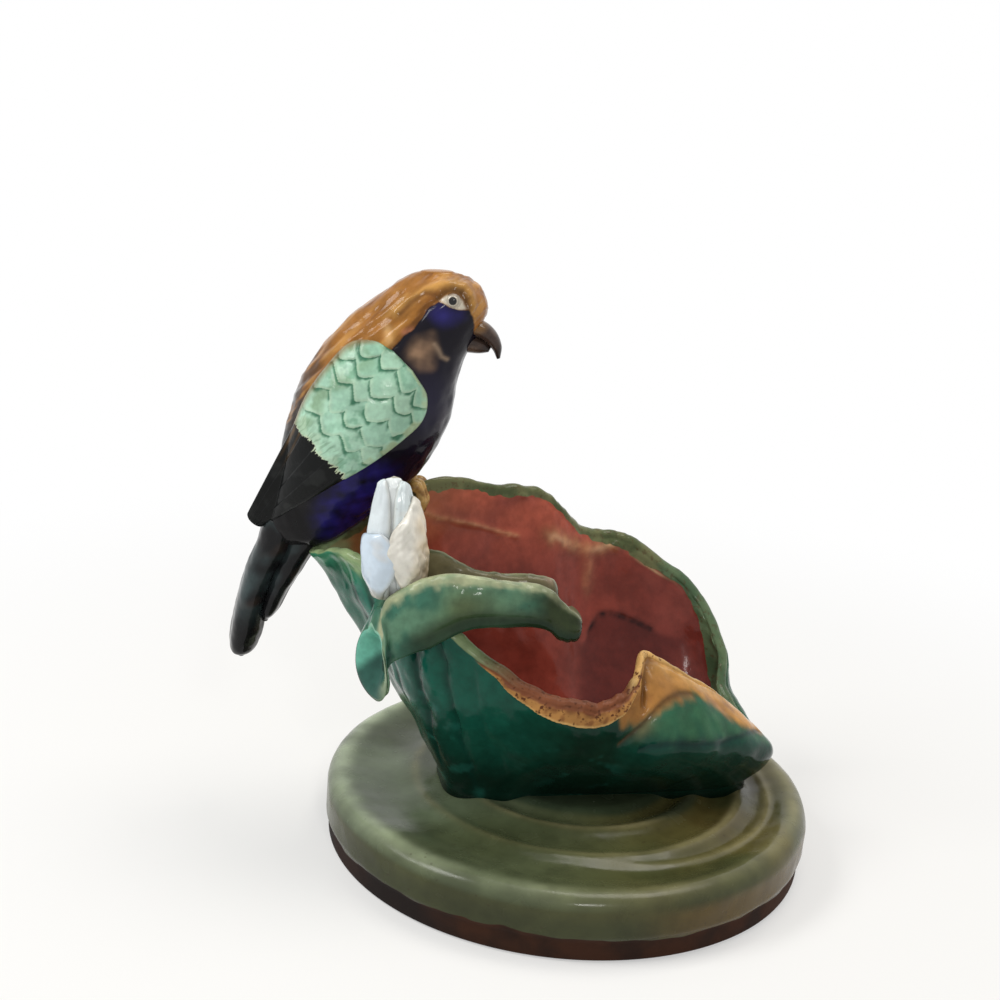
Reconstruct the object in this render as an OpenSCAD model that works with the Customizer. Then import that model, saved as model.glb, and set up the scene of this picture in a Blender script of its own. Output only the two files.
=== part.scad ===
// Glazed earthenware figurine: a bird perched on the rim of a curled leaf bowl,
// with a rolled leaf and a flower bud beside it, on a round base with water rings.
// Origin: middle of the base on the surface it stands on. +X towards the leaf tip, -Y front, +Z up.

/* [Base] */
// Diameter of the round base
base_d = 154; // [140:1:180]
// Height of the base at its shoulder
base_h = 20; // [18:0.5:26]
// Height of the bare clay foot
foot_h = 7; // [4:0.5:10]
// How far the bare foot stands back from the glazed edge
foot_step = 1; // [0.5:0.1:2]
// Radius of the rounded shoulder
shoulder_r = 5; // [3:0.5:7]
// Thickness of the hollow base's side and top
base_wall = 6; // [4:0.5:8]
// Plain margin from the outermost water ring to the base's edge, on the leaf tip's side
pond_margin = 22; // [18:0.5:28]
// Distance between water rings
ring_pitch = 14; // [10:0.5:15]
// Number of water rings
ring_count = 2; // [1:1:2]
// Height of each ring's wave
ring_rise = 1.6; // [0.8:0.1:2.5]
// How much each ring stands higher than the one outside it
ring_step_h = 1; // [0:0.1:1.5]
// Sideways shift of the rings' middle, towards the leaf tip
ring_shift = 3; // [0:1:6]

/* [Leaf bowl] */
// Reach of the leaf's perch end from the middle
leaf_left = 86; // [78:1:94]
// Reach of the leaf's tip from the middle
leaf_right = 64; // [58:1:70]
// Reach of the leaf's front lip
leaf_front = 40; // [36:1:46]
// Reach of the leaf's back edge
leaf_back = 52; // [46:1:56]
// Height of the leaf's highest edge above its seat
leaf_rise = 92; // [84:1:100]
// Largest bulge of the leaf's wall
leaf_bulge = 17; // [12:0.5:20]
// Thickness of the leaf's wall
leaf_wall = 4.5; // [3.5:0.1:6]
// Thickness of the leaf's floor
leaf_floor = 9; // [7:0.5:12]
// Length of the leaf's foot
leaf_foot_l = 100; // [92:1:104]
// Width of the leaf's foot
leaf_foot_w = 38; // [34:1:44]
// Squareness of the leaf's foot: 2 makes an oval, more makes squarer ends
foot_square = 4; // [2:0.5:6]
// Sideways place of the leaf's foot on the base
leaf_shift = 8; // [4:0.5:12]
// Turn of the leaf's foot on the base
leaf_turn_deg = 12; // [6:1:18]
// Depth of the recess in the base that seats the leaf
seat_depth = 3; // [2:0.5:4]
// Clearance round the leaf's foot in its recess
seat_gap = 0.2; // [0.1:0.05:0.4]

/* [Rolled leaf] */
// Size of the rolled leaf, from its lowest corner to the bowl's edge
roll_size = 40; // [36:0.5:44]
// Wall thickness of the rolled leaf at its lips
roll_wall = 3.6; // [2.5:0.1:5]
// Bulge of the rolled leaf's sides
roll_bulge = 3; // [1:0.5:5]

/* [Bud] */
// Height of the bud
bud_h = 38; // [32:0.5:42]
// Diameter of the bud's core
bud_d = 12.5; // [10:0.5:15]
// Thickness of each petal
petal_t = 1.5; // [1:0.1:2]
// Clearance under each petal
petal_gap = 0.2; // [0.15:0.05:0.4]
// Depth of the bud's foot below the leaf's edge
bud_sink = 4; // [2:0.5:6]
// Tilt of the bud from upright
bud_tilt_deg = 4; // [0:0.5:8]

/* [Bird] */
// Height of the bird from its perch to its crown
bird_tall = 88.5; // [80:0.5:96]
// Depth of the bird from its back to its breast
bird_deep = 49; // [44:1:54]
// Width of the bird's body
bird_wide = 38.6; // [34:0.2:44]
// Thickness of a folded wing where it stands out from the body
wing_lift = 2.8; // [1.5:0.1:4]
// How far round the body each wing wraps before it hangs free, as a share of the body's half depth
wing_wrap = 0.88; // [0.8:0.01:0.94]
// Distance that the tail drops below the perch
tail_len = 38.5; // [30:0.5:46]
// Distance that the tail sweeps out behind the perch
tail_sweep = 25; // [20:0.5:30]
// Width of the tail
tail_w = 17; // [12:0.5:20]
// Length of the beak
beak_len = 13; // [10:0.5:16]
// Width of the beak at its root
beak_w = 11; // [8:0.5:13]
// Diameter of each eye
eye_d = 5; // [4:0.25:7]
// Thickness of a toe
toe_d = 3.5; // [3:0.25:4.5]
// Drop of the toes over the leaf's edge
toe_len = 7.5; // [5:0.5:10]
// Length of each leg, up into the body
leg_h = 12; // [8:0.5:16]
// Distance of the bird's middle plane behind the leaf's perch end
perch_shift = 3; // [0:0.5:6]

/* [Hidden] */
$fn = 96;

// Steps along and round the modelled skins
leaf_round = 60;
leaf_rows = 8;
body_round = 28;
body_rows = 24;
wing_round = 18;
wing_rows = 16;
feather_round = 16;
feather_rows = 12;
roll_rows = 24;
roll_cols = 10;
bud_round = 18;
bud_rows = 11;
petal_cols = 8;
beak_round = 14;
beak_rows = 9;
toe_round = 8;
toe_rows = 9;

// Levels of the base, and the middle of the leaf's foot
ring_r = base_d / 2 - ring_shift - pond_margin;
pond_z = base_h - ring_rise - ring_step_h / 2;
plateau_z = base_h + ring_step_h * ring_count;
seat_z = plateau_z - seat_depth;
ceiling_z = seat_z - base_wall;
leaf_mid = [leaf_shift, leaf_shift / 8];

// Leaf edge, counter-clockwise from the tip. Each entry holds shares of the reaches to the side that
// it lies on, its share of leaf_rise, and the share of leaf_bulge in the wall below it.
leaf_edge = [
    [1.00, 0.19, 0.13, 0.30],
    [0.84, 0.53, 0.25, 0.47],
    [0.83, 0.75, 0.375, 0.47],
    [0.68, 0.97, 0.537, 0.47],
    [0.36, 1.00, 0.70, 0.41],
    [0.17, 0.98, 0.75, 0.41],
    [0.01, 0.89, 0.765, 0.35],
    [-0.09, 0.77, 0.85, 0.30],
    [-0.19, 0.67, 0.93, 0.24],
    [-0.40, 0.46, 0.97, 0.18],
    [-0.61, 0.23, 1.00, 0.12],
    [-0.80, 0.12, 0.895, 0.06],
    [-1.00, 0.00, 0.77, 0],
    [-0.91, -0.35, 0.82, 0],
    [-0.81, -0.55, 0.825, 0.06],
    [-0.66, -0.70, 0.75, 0.12],
    [-0.52, -0.825, 0.685, 0.18],
    [-0.35, -0.91, 0.565, 0.24],
    [-0.14, -1.00, 0.475, 0.30],
    [0.00, -1.00, 0.455, 0.30],
    [0.125, -0.93, 0.455, 0.35],
    [0.25, -0.75, 0.495, 0.60],
    [0.32, -0.49, 0.555, 1.00],
    [0.53, -0.33, 0.475, 0.90],
    [0.735, -0.13, 0.36, 0.65],
    [0.905, 0.06, 0.23, 0.47]
];

function lerp(a, b, t) = a + (b - a) * t;
function clamp(v, low, high) = min(max(v, low), high);
function unit(v) = v / norm(v);
function middle(pts) = [for (p = pts) 1] * pts / len(pts);

// Smooth curve through four neighbouring points, f from the second to the third
function between(a, b, c, d, f) =
    0.5 * (2 * b + (c - a) * f + (2 * a - 5 * b + 4 * c - d) * f * f + (3 * b - a - 3 * c + d) * f * f * f);

// Point at u from 0 to 1 on a closed curve through the listed points
function loop_at(pts, u) =
    let (n = len(pts), s = u * n, i = floor(s))
    between(pts[(i + n - 1) % n], pts[i % n], pts[(i + 1) % n], pts[(i + 2) % n], s - i);

// Point at u from 0 to 1 on an open curve through the listed points
function curve_at(pts, u) =
    let (n = len(pts) - 1, s = clamp(u, 0, 1) * n, i = min(floor(s), n - 1))
    let (b = pts[i], c = pts[i + 1])
    between(i > 0 ? pts[i - 1] : 2 * b - c, b, c, i < n - 1 ? pts[i + 2] : 2 * c - b, s - i);

// Faces round the sides of a stack of rings with n points each
function side_faces(rows, n) =
    [for (i = [0:rows - 2], j = [0:n - 1], k = [0, 1])
        let (a = i * n + j, b = i * n + (j + 1) % n)
        k == 0 ? [a, a + n, b] : [b, a + n, b + n]];

// Closed skin over rings of points, fanned shut from the middle of both end rings.
// Each ring runs counter-clockwise as seen looking back along the rings.
module skin(rings) {
    rows = len(rings);
    n = len(rings[0]);
    top = (rows - 1) * n;
    points = concat([for (r = rings, p = r) p], [middle(rings[0]), middle(rings[rows - 1])]);
    ends = [for (j = [0:n - 1], k = [0, 1])
        let (b = (j + 1) % n)
        k == 0 ? [j, b, rows * n] : [top + b, top + j, rows * n + 1]];
    polyhedron(points, concat(side_faces(rows, n), ends));
}

// Closed skin over rings of thin, curved sections: each ring runs along one face and back along the
// other with as many points, and both end rings are shut by a band between the two faces.
module thin_skin(rings) {
    rows = len(rings);
    n = len(rings[0]);
    top = (rows - 1) * n;
    ends = [for (j = [0:n / 2 - 2], k = [0:3])
        let (a = j, b = j + 1, c = n - 2 - j, d = n - 1 - j)
        let (low = k % 2 == 0 ? [a, b, c] : [a, c, d])
        k < 2 ? low : [top + low[2], top + low[1], top + low[0]]];
    polyhedron([for (r = rings, p = r) p], concat(side_faces(rows, n), ends));
}

// Leaf edge point at u, in millimetres, with the bulge as its fourth value
function edge_at(u) =
    let (e = loop_at(leaf_edge, u))
    [e.x * (e.x < 0 ? leaf_left : leaf_right), e.y * (e.y < 0 ? leaf_front : leaf_back),
     seat_z + e.z * leaf_rise, e[3] * leaf_bulge];

// Leaf edge point at a listed entry
function edge_entry(i) = edge_at(i / len(leaf_edge));

// Outline of the leaf's foot, a squared oval turned on the base, in the direction of the edge at u
function foot_at(u, grow = 0) =
    let (e = edge_at(u), a = atan2(e.y - leaf_mid.y, e.x - leaf_mid.x) - leaf_turn_deg)
    let (ra = leaf_foot_l / 2 + grow, rb = leaf_foot_w / 2 + grow)
    let (r = (abs(cos(a) / ra) ^ foot_square + abs(sin(a) / rb) ^ foot_square) ^ (-1 / foot_square))
    leaf_mid + r * [cos(a + leaf_turn_deg), sin(a + leaf_turn_deg)];

// Direction from the leaf's middle to its edge at u
function outward_at(u) =
    let (e = edge_at(u))
    unit([e.x - leaf_mid.x, e.y - leaf_mid.y]);

// Wall of the leaf at u, from its foot at t = 0 to its edge at t = 1, moved in by depth
function wall_at(u, t, depth = 0) =
    let (e = edge_at(u), f = foot_at(u), o = outward_at(u), out = e[3] * sin(180 * t) - depth)
    [lerp(f.x, e.x, t) + o.x * out, lerp(f.y, e.y, t) + o.y * out, lerp(plateau_z + seat_gap, e.z, t)];

// Share of the wall at u that lies below the leaf's floor
function floor_t(u) =
    let (e = edge_at(u))
    clamp((seat_z + leaf_floor - plateau_z) / (e.z - plateau_z), 0.05, 0.9);

module leaf_solid() {
    us = [for (j = [0:leaf_round - 1]) j / leaf_round];
    lip = leaf_wall / 4;
    foot_ring = [for (u = us) let (f = foot_at(u)) [f.x, f.y, seat_z]];
    drop = [for (i = [0:leaf_rows]) [0, 0, i == leaf_rows ? lip : 0]];
    outer = [for (i = [0:leaf_rows]) [for (u = us) wall_at(u, i / leaf_rows) - drop[i]]];
    crest = [for (u = us) wall_at(u, 1, leaf_wall / 2)];
    inner = [for (i = [leaf_rows:-1:0])
        [for (u = us) wall_at(u, lerp(floor_t(u), 1, i / leaf_rows), leaf_wall) - drop[i]]];
    skin(concat([foot_ring], outer, [crest], inner));
}

// Half outline of the drum: the hollow underneath, the bare foot, the shoulder and the pond
function drum_outline(r) =
    concat(
        [[0, ceiling_z], [r - base_wall - shoulder_r, ceiling_z], [r - base_wall, ceiling_z - shoulder_r]],
        [[r - base_wall, 0], [r - foot_step, 0], [r - foot_step, foot_h]],
        [for (a = [0:15:90]) [r, base_h] + shoulder_r * [cos(a) - 1, sin(a) - 1]],
        [[r - 3 * shoulder_r, pond_z], [0, pond_z]]);

// Half outline of the mound of water rings, a wave that climbs towards the middle
function mound_outline() =
    let (outer_r = ring_r + ring_pitch / 2, core_r = ring_r - (ring_count - 0.5) * ring_pitch)
    let (steps = 10 * ring_count, low_z = pond_z - ring_rise)
    concat(
        [for (i = [0:steps])
            let (q = lerp(outer_r, core_r, i / steps), s = (ring_r - q) / ring_pitch)
            let (dip = i == 0 ? ring_rise / 8 : 0)
            [q, base_h + ring_step_h * s + ring_rise * (cos(360 * s) - 1) / 2 - dip]],
        [[core_r - ring_pitch / 4, plateau_z], [0, plateau_z], [0, low_z], [outer_r, low_z]]);

// The base: a hollow drum with a mound of water rings and a recess for the leaf's foot
module base_plinth() {
    color("darkseagreen")
    difference() {
        union() {
            rotate_extrude() polygon(drum_outline(base_d / 2));
            translate([ring_shift, 0, 0]) rotate_extrude() polygon(mound_outline());
        }
        translate([0, 0, seat_z])
            linear_extrude(height = base_h)
                polygon([for (j = [0:leaf_round - 1]) foot_at(j / leaf_round, seat_gap)]);
    }
}

module leaf_bowl() {
    color("seagreen") leaf_solid();
}

// Rolled leaf: stations along it, each with the entry of the bowl's edge that it lies by and the offsets
// from there, in shares of roll_size, of its near lip, near bottom, far bottom and far lip
roll_stations = [
    [15, [-0.07, -0.225, -0.275], [-0.03, -0.20, -0.84], [-0.22, -0.075, -0.74], [-0.23, 0, -0.35]],
    [15, [-0.04, -0.225, -0.05], [0.045, -0.225, -0.49], [0.045, 0.10, -0.30], [-0.03, 0.26, 0.125]],
    [16, [-0.01, -0.14, 0.33], [-0.01, -0.15, -0.18], [-0.01, 0.175, -0.075], [-0.03, 0.325, 0.39]],
    [17, [-0.085, -0.04, 0.63], [-0.06, -0.04, 0.255], [-0.07, 0.235, 0.275], [-0.09, 0.285, 0.59]],
    [18, [-0.06, 0.20, 0.74], [-0.05, 0.20, 0.45], [-0.035, 0.40, 0.48], [-0.025, 0.425, 0.78]],
    [18, [0.10, 0.24, 0.64], [0.115, 0.25, 0.35], [0.115, 0.40, 0.37], [0.10, 0.41, 0.66]],
    [18, [0.225, 0.275, 0.53], [0.225, 0.29, 0.40], [0.225, 0.375, 0.41], [0.225, 0.375, 0.545]]
];

// One of the rolled leaf's four lines at s from 0 to 1 along it
function roll_line(k, s) =
    curve_at([for (q = roll_stations) let (e = edge_entry(q[0])) [e.x, e.y, e.z] + q[k] * roll_size], s);

// Cross-section of the rolled leaf at s: down the near side, under, up the far side, back along the trough
function roll_ring(s) =
    let (near = roll_line(1, s), low = roll_line(2, s), deep = roll_line(3, s), far = roll_line(4, s))
    let (across = unit(far - near), thick = min(roll_wall, norm(far - near) / 3))
    let (near_side = (near + low) / 2 - across * roll_bulge * sin(90 + 80 * s))
    let (far_side = (deep + far) / 2 + across * roll_bulge / 2)
    let (near_in = near + across * thick, far_in = far - across * thick)
    let (bed = lerp((near_in + far_in) / 2, (low + deep) / 2, 0.4))
    let (outside = [near, near_side, low, deep, far_side, far], inside = [far_in, bed, near_in])
    concat(
        [for (i = [0:roll_cols]) curve_at(outside, i / roll_cols)],
        [for (i = [0:roll_cols]) curve_at(inside, i / roll_cols)]);

module roll_solid() {
    thin_skin([for (i = [0:roll_rows]) roll_ring(i / roll_rows)]);
}

module rolled_leaf() {
    color("cadetblue")
    difference() {
        roll_solid();
        leaf_solid();
    }
}

// Bud: height up the bud as a share, and the core's radius there as a share of its own
bud_profile = [
    [0, 0.30], [0.08, 0.62], [0.20, 0.88], [0.40, 1.00],
    [0.60, 0.95], [0.80, 0.72], [0.93, 0.50], [1, 0.36]
];
bud_edge = edge_entry(15);
bud_foot = [bud_edge.x, bud_edge.y, bud_edge.z - bud_sink];

// Point on the bud at angle a and height share h, out from the core's skin
function bud_at(a, h, out) =
    let (r = curve_at(bud_profile, h)[1] * bud_d / 2 + out)
    [r * cos(a), r * sin(a), curve_at(bud_profile, h)[0] * bud_h];

module bud_place() {
    translate(bud_foot) rotate([0, -bud_tilt_deg, 0]) children();
}

module bud_core_solid() {
    bud_place()
        skin([for (i = [0:bud_rows])
            [for (j = [0:bud_round - 1]) bud_at(360 * j / bud_round, i / bud_rows, 0)]]);
}

// One petal hugging the bud: middle angle, half spread, its lowest and highest share and its layer
module petal_solid(turn, spread, low, high, layer) {
    under = petal_gap + layer * (petal_t + petal_gap);
    bud_place()
        thin_skin([for (i = [0:bud_rows])
            let (h = lerp(low, high, i / bud_rows), w = spread * (0.55 + 0.45 * sin(20 + 140 * i / bud_rows)))
            let (angles = [for (j = [0:petal_cols]) turn + lerp(-w, w, j / petal_cols)])
            concat(
                [for (a = angles) bud_at(a, h, under + petal_t)],
                [for (j = [petal_cols:-1:0]) bud_at(angles[j], h, under)])]);
}

module petal(turn, spread, low, high, layer) {
    difference() {
        petal_solid(turn, spread, low, high, layer);
        roll_solid();
        leaf_solid();
    }
}

module bud_core() {
    color("ivory")
    difference() {
        bud_core_solid();
        roll_solid();
        leaf_solid();
    }
}

module bud_petal_back() { color("linen") petal(90, 58, 0.1, 0.97, 0); }
module bud_petal_left() { color("aliceblue") petal(210, 58, 0.1, 0.99, 0); }
module bud_petal_right() { color("antiquewhite") petal(330, 58, 0.1, 0.96, 0); }
module bud_wrap_left() { color("azure") petal(195, 58, 0.12, 0.57, 1); }
module bud_wrap_right() { color("seashell") petal(345, 58, 0.12, 0.79, 1); }

// Bird: the back line and the front line as shares of its depth and height from the perch, and the
// half width as a share of its width, from the crown down to the root of the tail
bird_line = [
    [0.59, 0.99, 0.79, 0.994, 0.10],
    [0.44, 0.945, 0.95, 0.955, 0.25],
    [0.30, 0.885, 1.01, 0.885, 0.325],
    [0.16, 0.812, 0.965, 0.80, 0.36],
    [0.02, 0.716, 0.90, 0.715, 0.40],
    [-0.09, 0.617, 0.862, 0.63, 0.465],
    [-0.16, 0.508, 0.838, 0.54, 0.50],
    [-0.20, 0.40, 0.797, 0.45, 0.50],
    [-0.22, 0.31, 0.727, 0.36, 0.465],
    [-0.245, 0.225, 0.59, 0.245, 0.40],
    [-0.265, 0.15, 0.39, 0.145, 0.31],
    [-0.285, 0.08, 0.18, 0.037, 0.22],
    [-0.275, 0.023, 0.02, -0.005, 0.13]
];
perch = let (e = edge_entry(12)) [e.x, e.y + perch_shift, e.z];

// Point of the bird from shares of its depth and height, and y out from its middle plane
function bird_at(x, y, z) = perch + [x * bird_deep, y, z * bird_tall];

function body_ring(t) =
    let (s = curve_at(bird_line, t))
    [for (j = [0:body_round - 1])
        let (a = 360 * j / body_round, f = (1 + cos(a)) / 2)
        bird_at(lerp(s[0], s[2], f), s[4] * bird_wide * sin(a), lerp(s[1], s[3], f))];

module body_solid() {
    skin([for (i = [body_rows:-1:0]) body_ring(i / body_rows)]);
}

// Place along the bird of the slice that holds the side point x, z
function slice_at(x, z, low = 0, high = 1, tries = 12) =
    let (m = (low + high) / 2, s = curve_at(bird_line, m))
    let (above = lerp(s[1], s[3], (x - s[0]) / (s[2] - s[0])) > z)
    tries == 0 ? m : slice_at(x, z, above ? m : low, above ? high : m, tries - 1);

// Distance of the bird's skin from its middle plane at the side point x, z. Points further from the
// slice's middle than a share of its half depth are taken at that share.
function body_side(x, z, share = 1) =
    let (s = curve_at(bird_line, slice_at(x, z)))
    let (c = clamp(2 * (x - s[0]) / (s[2] - s[0]) - 1, -share, share))
    bird_wide * s[4] * sqrt(1 - c * c);

// The body, with sockets for the legs
module bird_body() {
    color("darkgoldenrod")
    difference() {
        body_solid();
        leaf_solid();
        foot_solid(left_foot_u);
        foot_solid(right_foot_u);
    }
}

// Wing: its lower edge and its upper edge as shares of the bird's depth and height, shoulder to tip
wing_line = [
    [0.60, 0.68, 0.48, 0.74],
    [0.69, 0.60, 0.36, 0.768],
    [0.675, 0.515, 0.20, 0.75],
    [0.55, 0.44, 0.06, 0.66],
    [0.36, 0.352, -0.05, 0.56],
    [0.14, 0.265, -0.13, 0.44],
    [-0.10, 0.16, -0.245, 0.30],
    [-0.30, 0.068, -0.40, 0.115]
];

// Cross-section of the left wing at t from shoulder to tip: a blade that hugs the body, thick in the
// middle and blunt at its edges
function wing_ring(t) =
    let (s = curve_at(wing_line, t), thick = wing_lift * sqrt(sin(4 + 172 * t)))
    [for (j = [0:wing_round - 1])
        let (a = 360 * j / wing_round, f = (1 - cos(a)) / 2, puff = sign(sin(a)) * sqrt(abs(sin(a))))
        let (x = lerp(s[2], s[0], f), z = lerp(s[3], s[1], f))
        bird_at(x, body_side(x, z, wing_wrap) + puff * thick, z)];

module wing_blade() {
    skin([for (i = [0:wing_rows]) wing_ring(i / wing_rows)]);
}

// The same blade on the bird's right side
module right_blade() {
    translate([0, 2 * perch.y, 0]) mirror([0, 1, 0]) wing_blade();
}

module left_wing() {
    color("mediumaquamarine")
    difference() {
        wing_blade();
        body_solid();
    }
}

module right_wing() {
    color("mediumaquamarine")
    difference() {
        right_blade();
        body_solid();
    }
}

// Tail feathers: the back line and front line as shares of the tail's sweep and drop, and the half
// width as a share of the tail's width, tip to root
long_line = [
    [-0.90, -1.00, -0.80, -1.00, 0.10],
    [-0.98, -0.94, -0.69, -0.95, 0.36],
    [-0.99, -0.78, -0.61, -0.79, 0.48],
    [-0.92, -0.52, -0.56, -0.57, 0.50],
    [-0.81, -0.23, -0.44, -0.31, 0.47],
    [-0.68, 0.00, -0.28, -0.08, 0.41],
    [-0.60, 0.23, -0.16, 0.16, 0.35]
];
short_line = [
    [-0.60, -0.67, -0.52, -0.68, 0.10],
    [-0.60, -0.56, -0.40, -0.58, 0.33],
    [-0.52, -0.32, -0.22, -0.34, 0.38],
    [-0.36, -0.05, 0.00, -0.08, 0.35],
    [-0.30, 0.15, 0.22, 0.08, 0.29]
];

module feather(line) {
    skin([for (i = [0:feather_rows])
        let (s = curve_at(line, i / feather_rows))
        [for (j = [0:feather_round - 1])
            let (a = 360 * j / feather_round, f = (1 + cos(a)) / 2)
            let (x = lerp(s[0], s[2], f) * tail_sweep, z = lerp(s[1], s[3], f) * tail_len)
            perch + [x, s[4] * tail_w * sin(a), z]]]);
}

module tail_long() {
    color("black")
    difference() {
        feather(long_line);
        body_solid();
        leaf_solid();
        wing_blade();
        right_blade();
    }
}

module tail_short() {
    color("dimgray")
    difference() {
        feather(short_line);
        feather(long_line);
        body_solid();
        leaf_solid();
    }
}

// Path of one toe, curled over the leaf's edge at u and slid along it
function toe_path(u, slide) =
    let (c = wall_at(u, 1, leaf_wall / 2), o = outward_at(u), h = leaf_wall / 2 + toe_d / 4)
    [for (q = [[1, -0.25], [0.5, 0.15], [-0.5, 0.15], [-1, -0.25], [-1.1, -0.65], [-1, -1]])
        c + [o.x * q[0] * h - o.y * slide, o.y * q[0] * h + o.x * slide, q[1] * toe_len]];

// Round tube along a path, narrowed at both ends, with one side of its rings turned to the given direction
module tube(path, r, side) {
    skin([for (i = [0:toe_rows])
        let (s = i / toe_rows, ahead = curve_at(path, s + 0.02), behind = curve_at(path, s - 0.02))
        let (d = unit(ahead - behind), e = unit(side - d * (side * d)), n = cross(d, e))
        let (q = r * sqrt(max(0.15, sin(10 + 160 * s))))
        [for (j = [0:toe_round - 1])
            let (a = 360 * j / toe_round)
            curve_at(path, s) + q * (cos(a) * e + sin(a) * n)]]);
}

// A foot on the leaf's edge at u: three toes over the edge and a short leg up into the body
module foot_solid(u) {
    c = wall_at(u, 1, leaf_wall / 2);
    o = outward_at(u);
    along = [-o.y, o.x, 0];
    leg = [-leg_h / 2, 0, leg_h];
    for (k = [-1:1])
        tube(toe_path(u, k * toe_d * 0.95), toe_d / 2, along);
    tube([c - [0, 0, toe_d / 4], c + leg / 3, c + leg], toe_d * 0.7, along);
}

module foot(u) {
    color("goldenrod")
    difference() {
        foot_solid(u);
        leaf_solid();
    }
}

// Places of the feet round the leaf's edge
left_foot_u = 0.397;
right_foot_u = 0.425;

module left_foot() { foot(left_foot_u); }
module right_foot() { foot(right_foot_u); }

// Beak halves: top line and lower line as offsets from the face in shares of the beak's length, and
// the half width as a share of its width
face = bird_at(0.9, 0, 0.80);
upper_line = [
    [-0.25, 0.42, -0.25, -0.06, 0.50],
    [0.32, 0.27, 0.20, -0.13, 0.45],
    [0.64, 0.04, 0.42, -0.24, 0.35],
    [0.80, -0.28, 0.60, -0.40, 0.23],
    [0.79, -0.57, 0.71, -0.60, 0.08]
];
lower_line = [
    [-0.30, -0.06, -0.30, -0.50, 0.43],
    [0.10, -0.12, 0.02, -0.50, 0.38],
    [0.36, -0.24, 0.26, -0.52, 0.29],
    [0.52, -0.42, 0.44, -0.54, 0.10]
];

module beak_half(line) {
    skin([for (i = [0:beak_rows])
        let (s = curve_at(line, i / beak_rows))
        [for (j = [0:beak_round - 1])
            let (a = 360 * j / beak_round, f = (1 + sin(a)) / 2)
            let (x = lerp(s[2], s[0], f) * beak_len, z = lerp(s[3], s[1], f) * beak_len)
            face + [x, s[4] * beak_w * cos(a), z]]]);
}

module upper_beak() {
    color("saddlebrown")
    difference() {
        beak_half(upper_line);
        body_solid();
    }
}

module lower_beak() {
    color("sienna")
    difference() {
        beak_half(lower_line);
        beak_half(upper_line);
        body_solid();
    }
}

// An eye, a pellet let into the side of the head at a share of the bird's depth and height
eye_x = 0.805;
eye_z = 0.913;

module eye(side) {
    out = body_side(eye_x, eye_z) - eye_d / 5;
    color("whitesmoke")
    difference() {
        translate(bird_at(eye_x, side * out, eye_z)) sphere(d = eye_d, $fn = 48);
        body_solid();
    }
}

module right_eye() { eye(-1); }
module left_eye() { eye(1); }

base_plinth();
leaf_bowl();
rolled_leaf();
bud_core();
bud_petal_back();
bud_petal_left();
bud_petal_right();
bud_wrap_left();
bud_wrap_right();
bird_body();
right_wing();
left_wing();
tail_long();
tail_short();
right_foot();
left_foot();
upper_beak();
lower_beak();
right_eye();
left_eye();
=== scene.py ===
"""Glazed earthenware figurine: a bird on the rim of a curled leaf dish, with a rolled leaf and a bud, on a
round base with water rings. Sizes are in millimetres until a piece becomes a mesh, which is in metres."""

import math
import bpy
import numpy as np
from mathutils import Matrix


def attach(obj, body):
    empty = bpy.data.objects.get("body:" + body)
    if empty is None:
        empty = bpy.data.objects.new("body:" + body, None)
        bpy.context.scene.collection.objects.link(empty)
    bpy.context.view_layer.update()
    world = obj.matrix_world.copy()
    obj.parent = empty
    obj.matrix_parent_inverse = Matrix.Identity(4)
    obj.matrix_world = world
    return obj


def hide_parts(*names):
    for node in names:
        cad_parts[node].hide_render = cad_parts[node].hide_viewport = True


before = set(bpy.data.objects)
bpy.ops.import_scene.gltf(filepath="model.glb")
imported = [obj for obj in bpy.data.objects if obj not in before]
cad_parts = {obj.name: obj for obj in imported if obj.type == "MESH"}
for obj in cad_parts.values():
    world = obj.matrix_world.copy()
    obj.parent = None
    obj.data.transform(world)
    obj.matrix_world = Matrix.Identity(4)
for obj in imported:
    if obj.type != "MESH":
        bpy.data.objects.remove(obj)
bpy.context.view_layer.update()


# Curves and small helpers

def lerp(a, b, t):
    """Straight mix: a at t = 0, b at t = 1."""
    return a + (b - a) * t


def unit(v):
    """The same direction with length 1."""
    return v / np.linalg.norm(v, axis=-1, keepdims=True)


def ease(x, low, high):
    """Smooth step: 0 below low, 1 above high, 3k^2 - 2k^3 between."""
    k = np.clip((x - low) / (high - low), 0, 1)
    return k * k * (3 - 2 * k)


def fall(x, low, high):
    """Smooth step down: 1 below low, 0 above high."""
    return 1 - ease(x, low, high)


def span(x, low, full, fade, none):
    """Smooth step up from low to full, times a smooth step down from fade to none."""
    return ease(x, low, full) * fall(x, fade, none)


def hump(x, middle, width):
    """Bell curve of height 1 at middle."""
    return np.exp(-((x - middle) / width) ** 2)


def spline(a, b, c, d, f):
    """Catmull-Rom curve from b to c as f goes from 0 to 1."""
    return 0.5 * (2 * b + (c - a) * f + (2 * a - 5 * b + 4 * c - d) * f**2 + (3 * b - a - 3 * c + d) * f**3)


def loop_at(points, u):
    """Point at u from 0 to 1 on a closed curve through the listed points."""
    n = len(points)
    s = np.asarray(u, float) * n
    i = np.floor(s).astype(int)
    f = (s - i).reshape(s.shape + (1,) * (points.ndim - 1))
    return spline(points[(i - 1) % n], points[i % n], points[(i + 1) % n], points[(i + 2) % n], f)


def curve_at(points, u):
    """Point at u from 0 to 1 on an open curve through the listed points, run straight on past its ends."""
    points = np.asarray(points, float)
    n = len(points) - 1
    ext = np.concatenate([[2 * points[0] - points[1]], points, [2 * points[-1] - points[-2]]])
    s = np.clip(np.asarray(u, float), 0, 1) * n
    i = np.minimum(np.floor(s).astype(int), n - 1)
    f = (s - i).reshape(s.shape + (1,) * (points.ndim - 1))
    return spline(ext[i], ext[i + 1], ext[i + 2], ext[i + 3], f)


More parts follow.
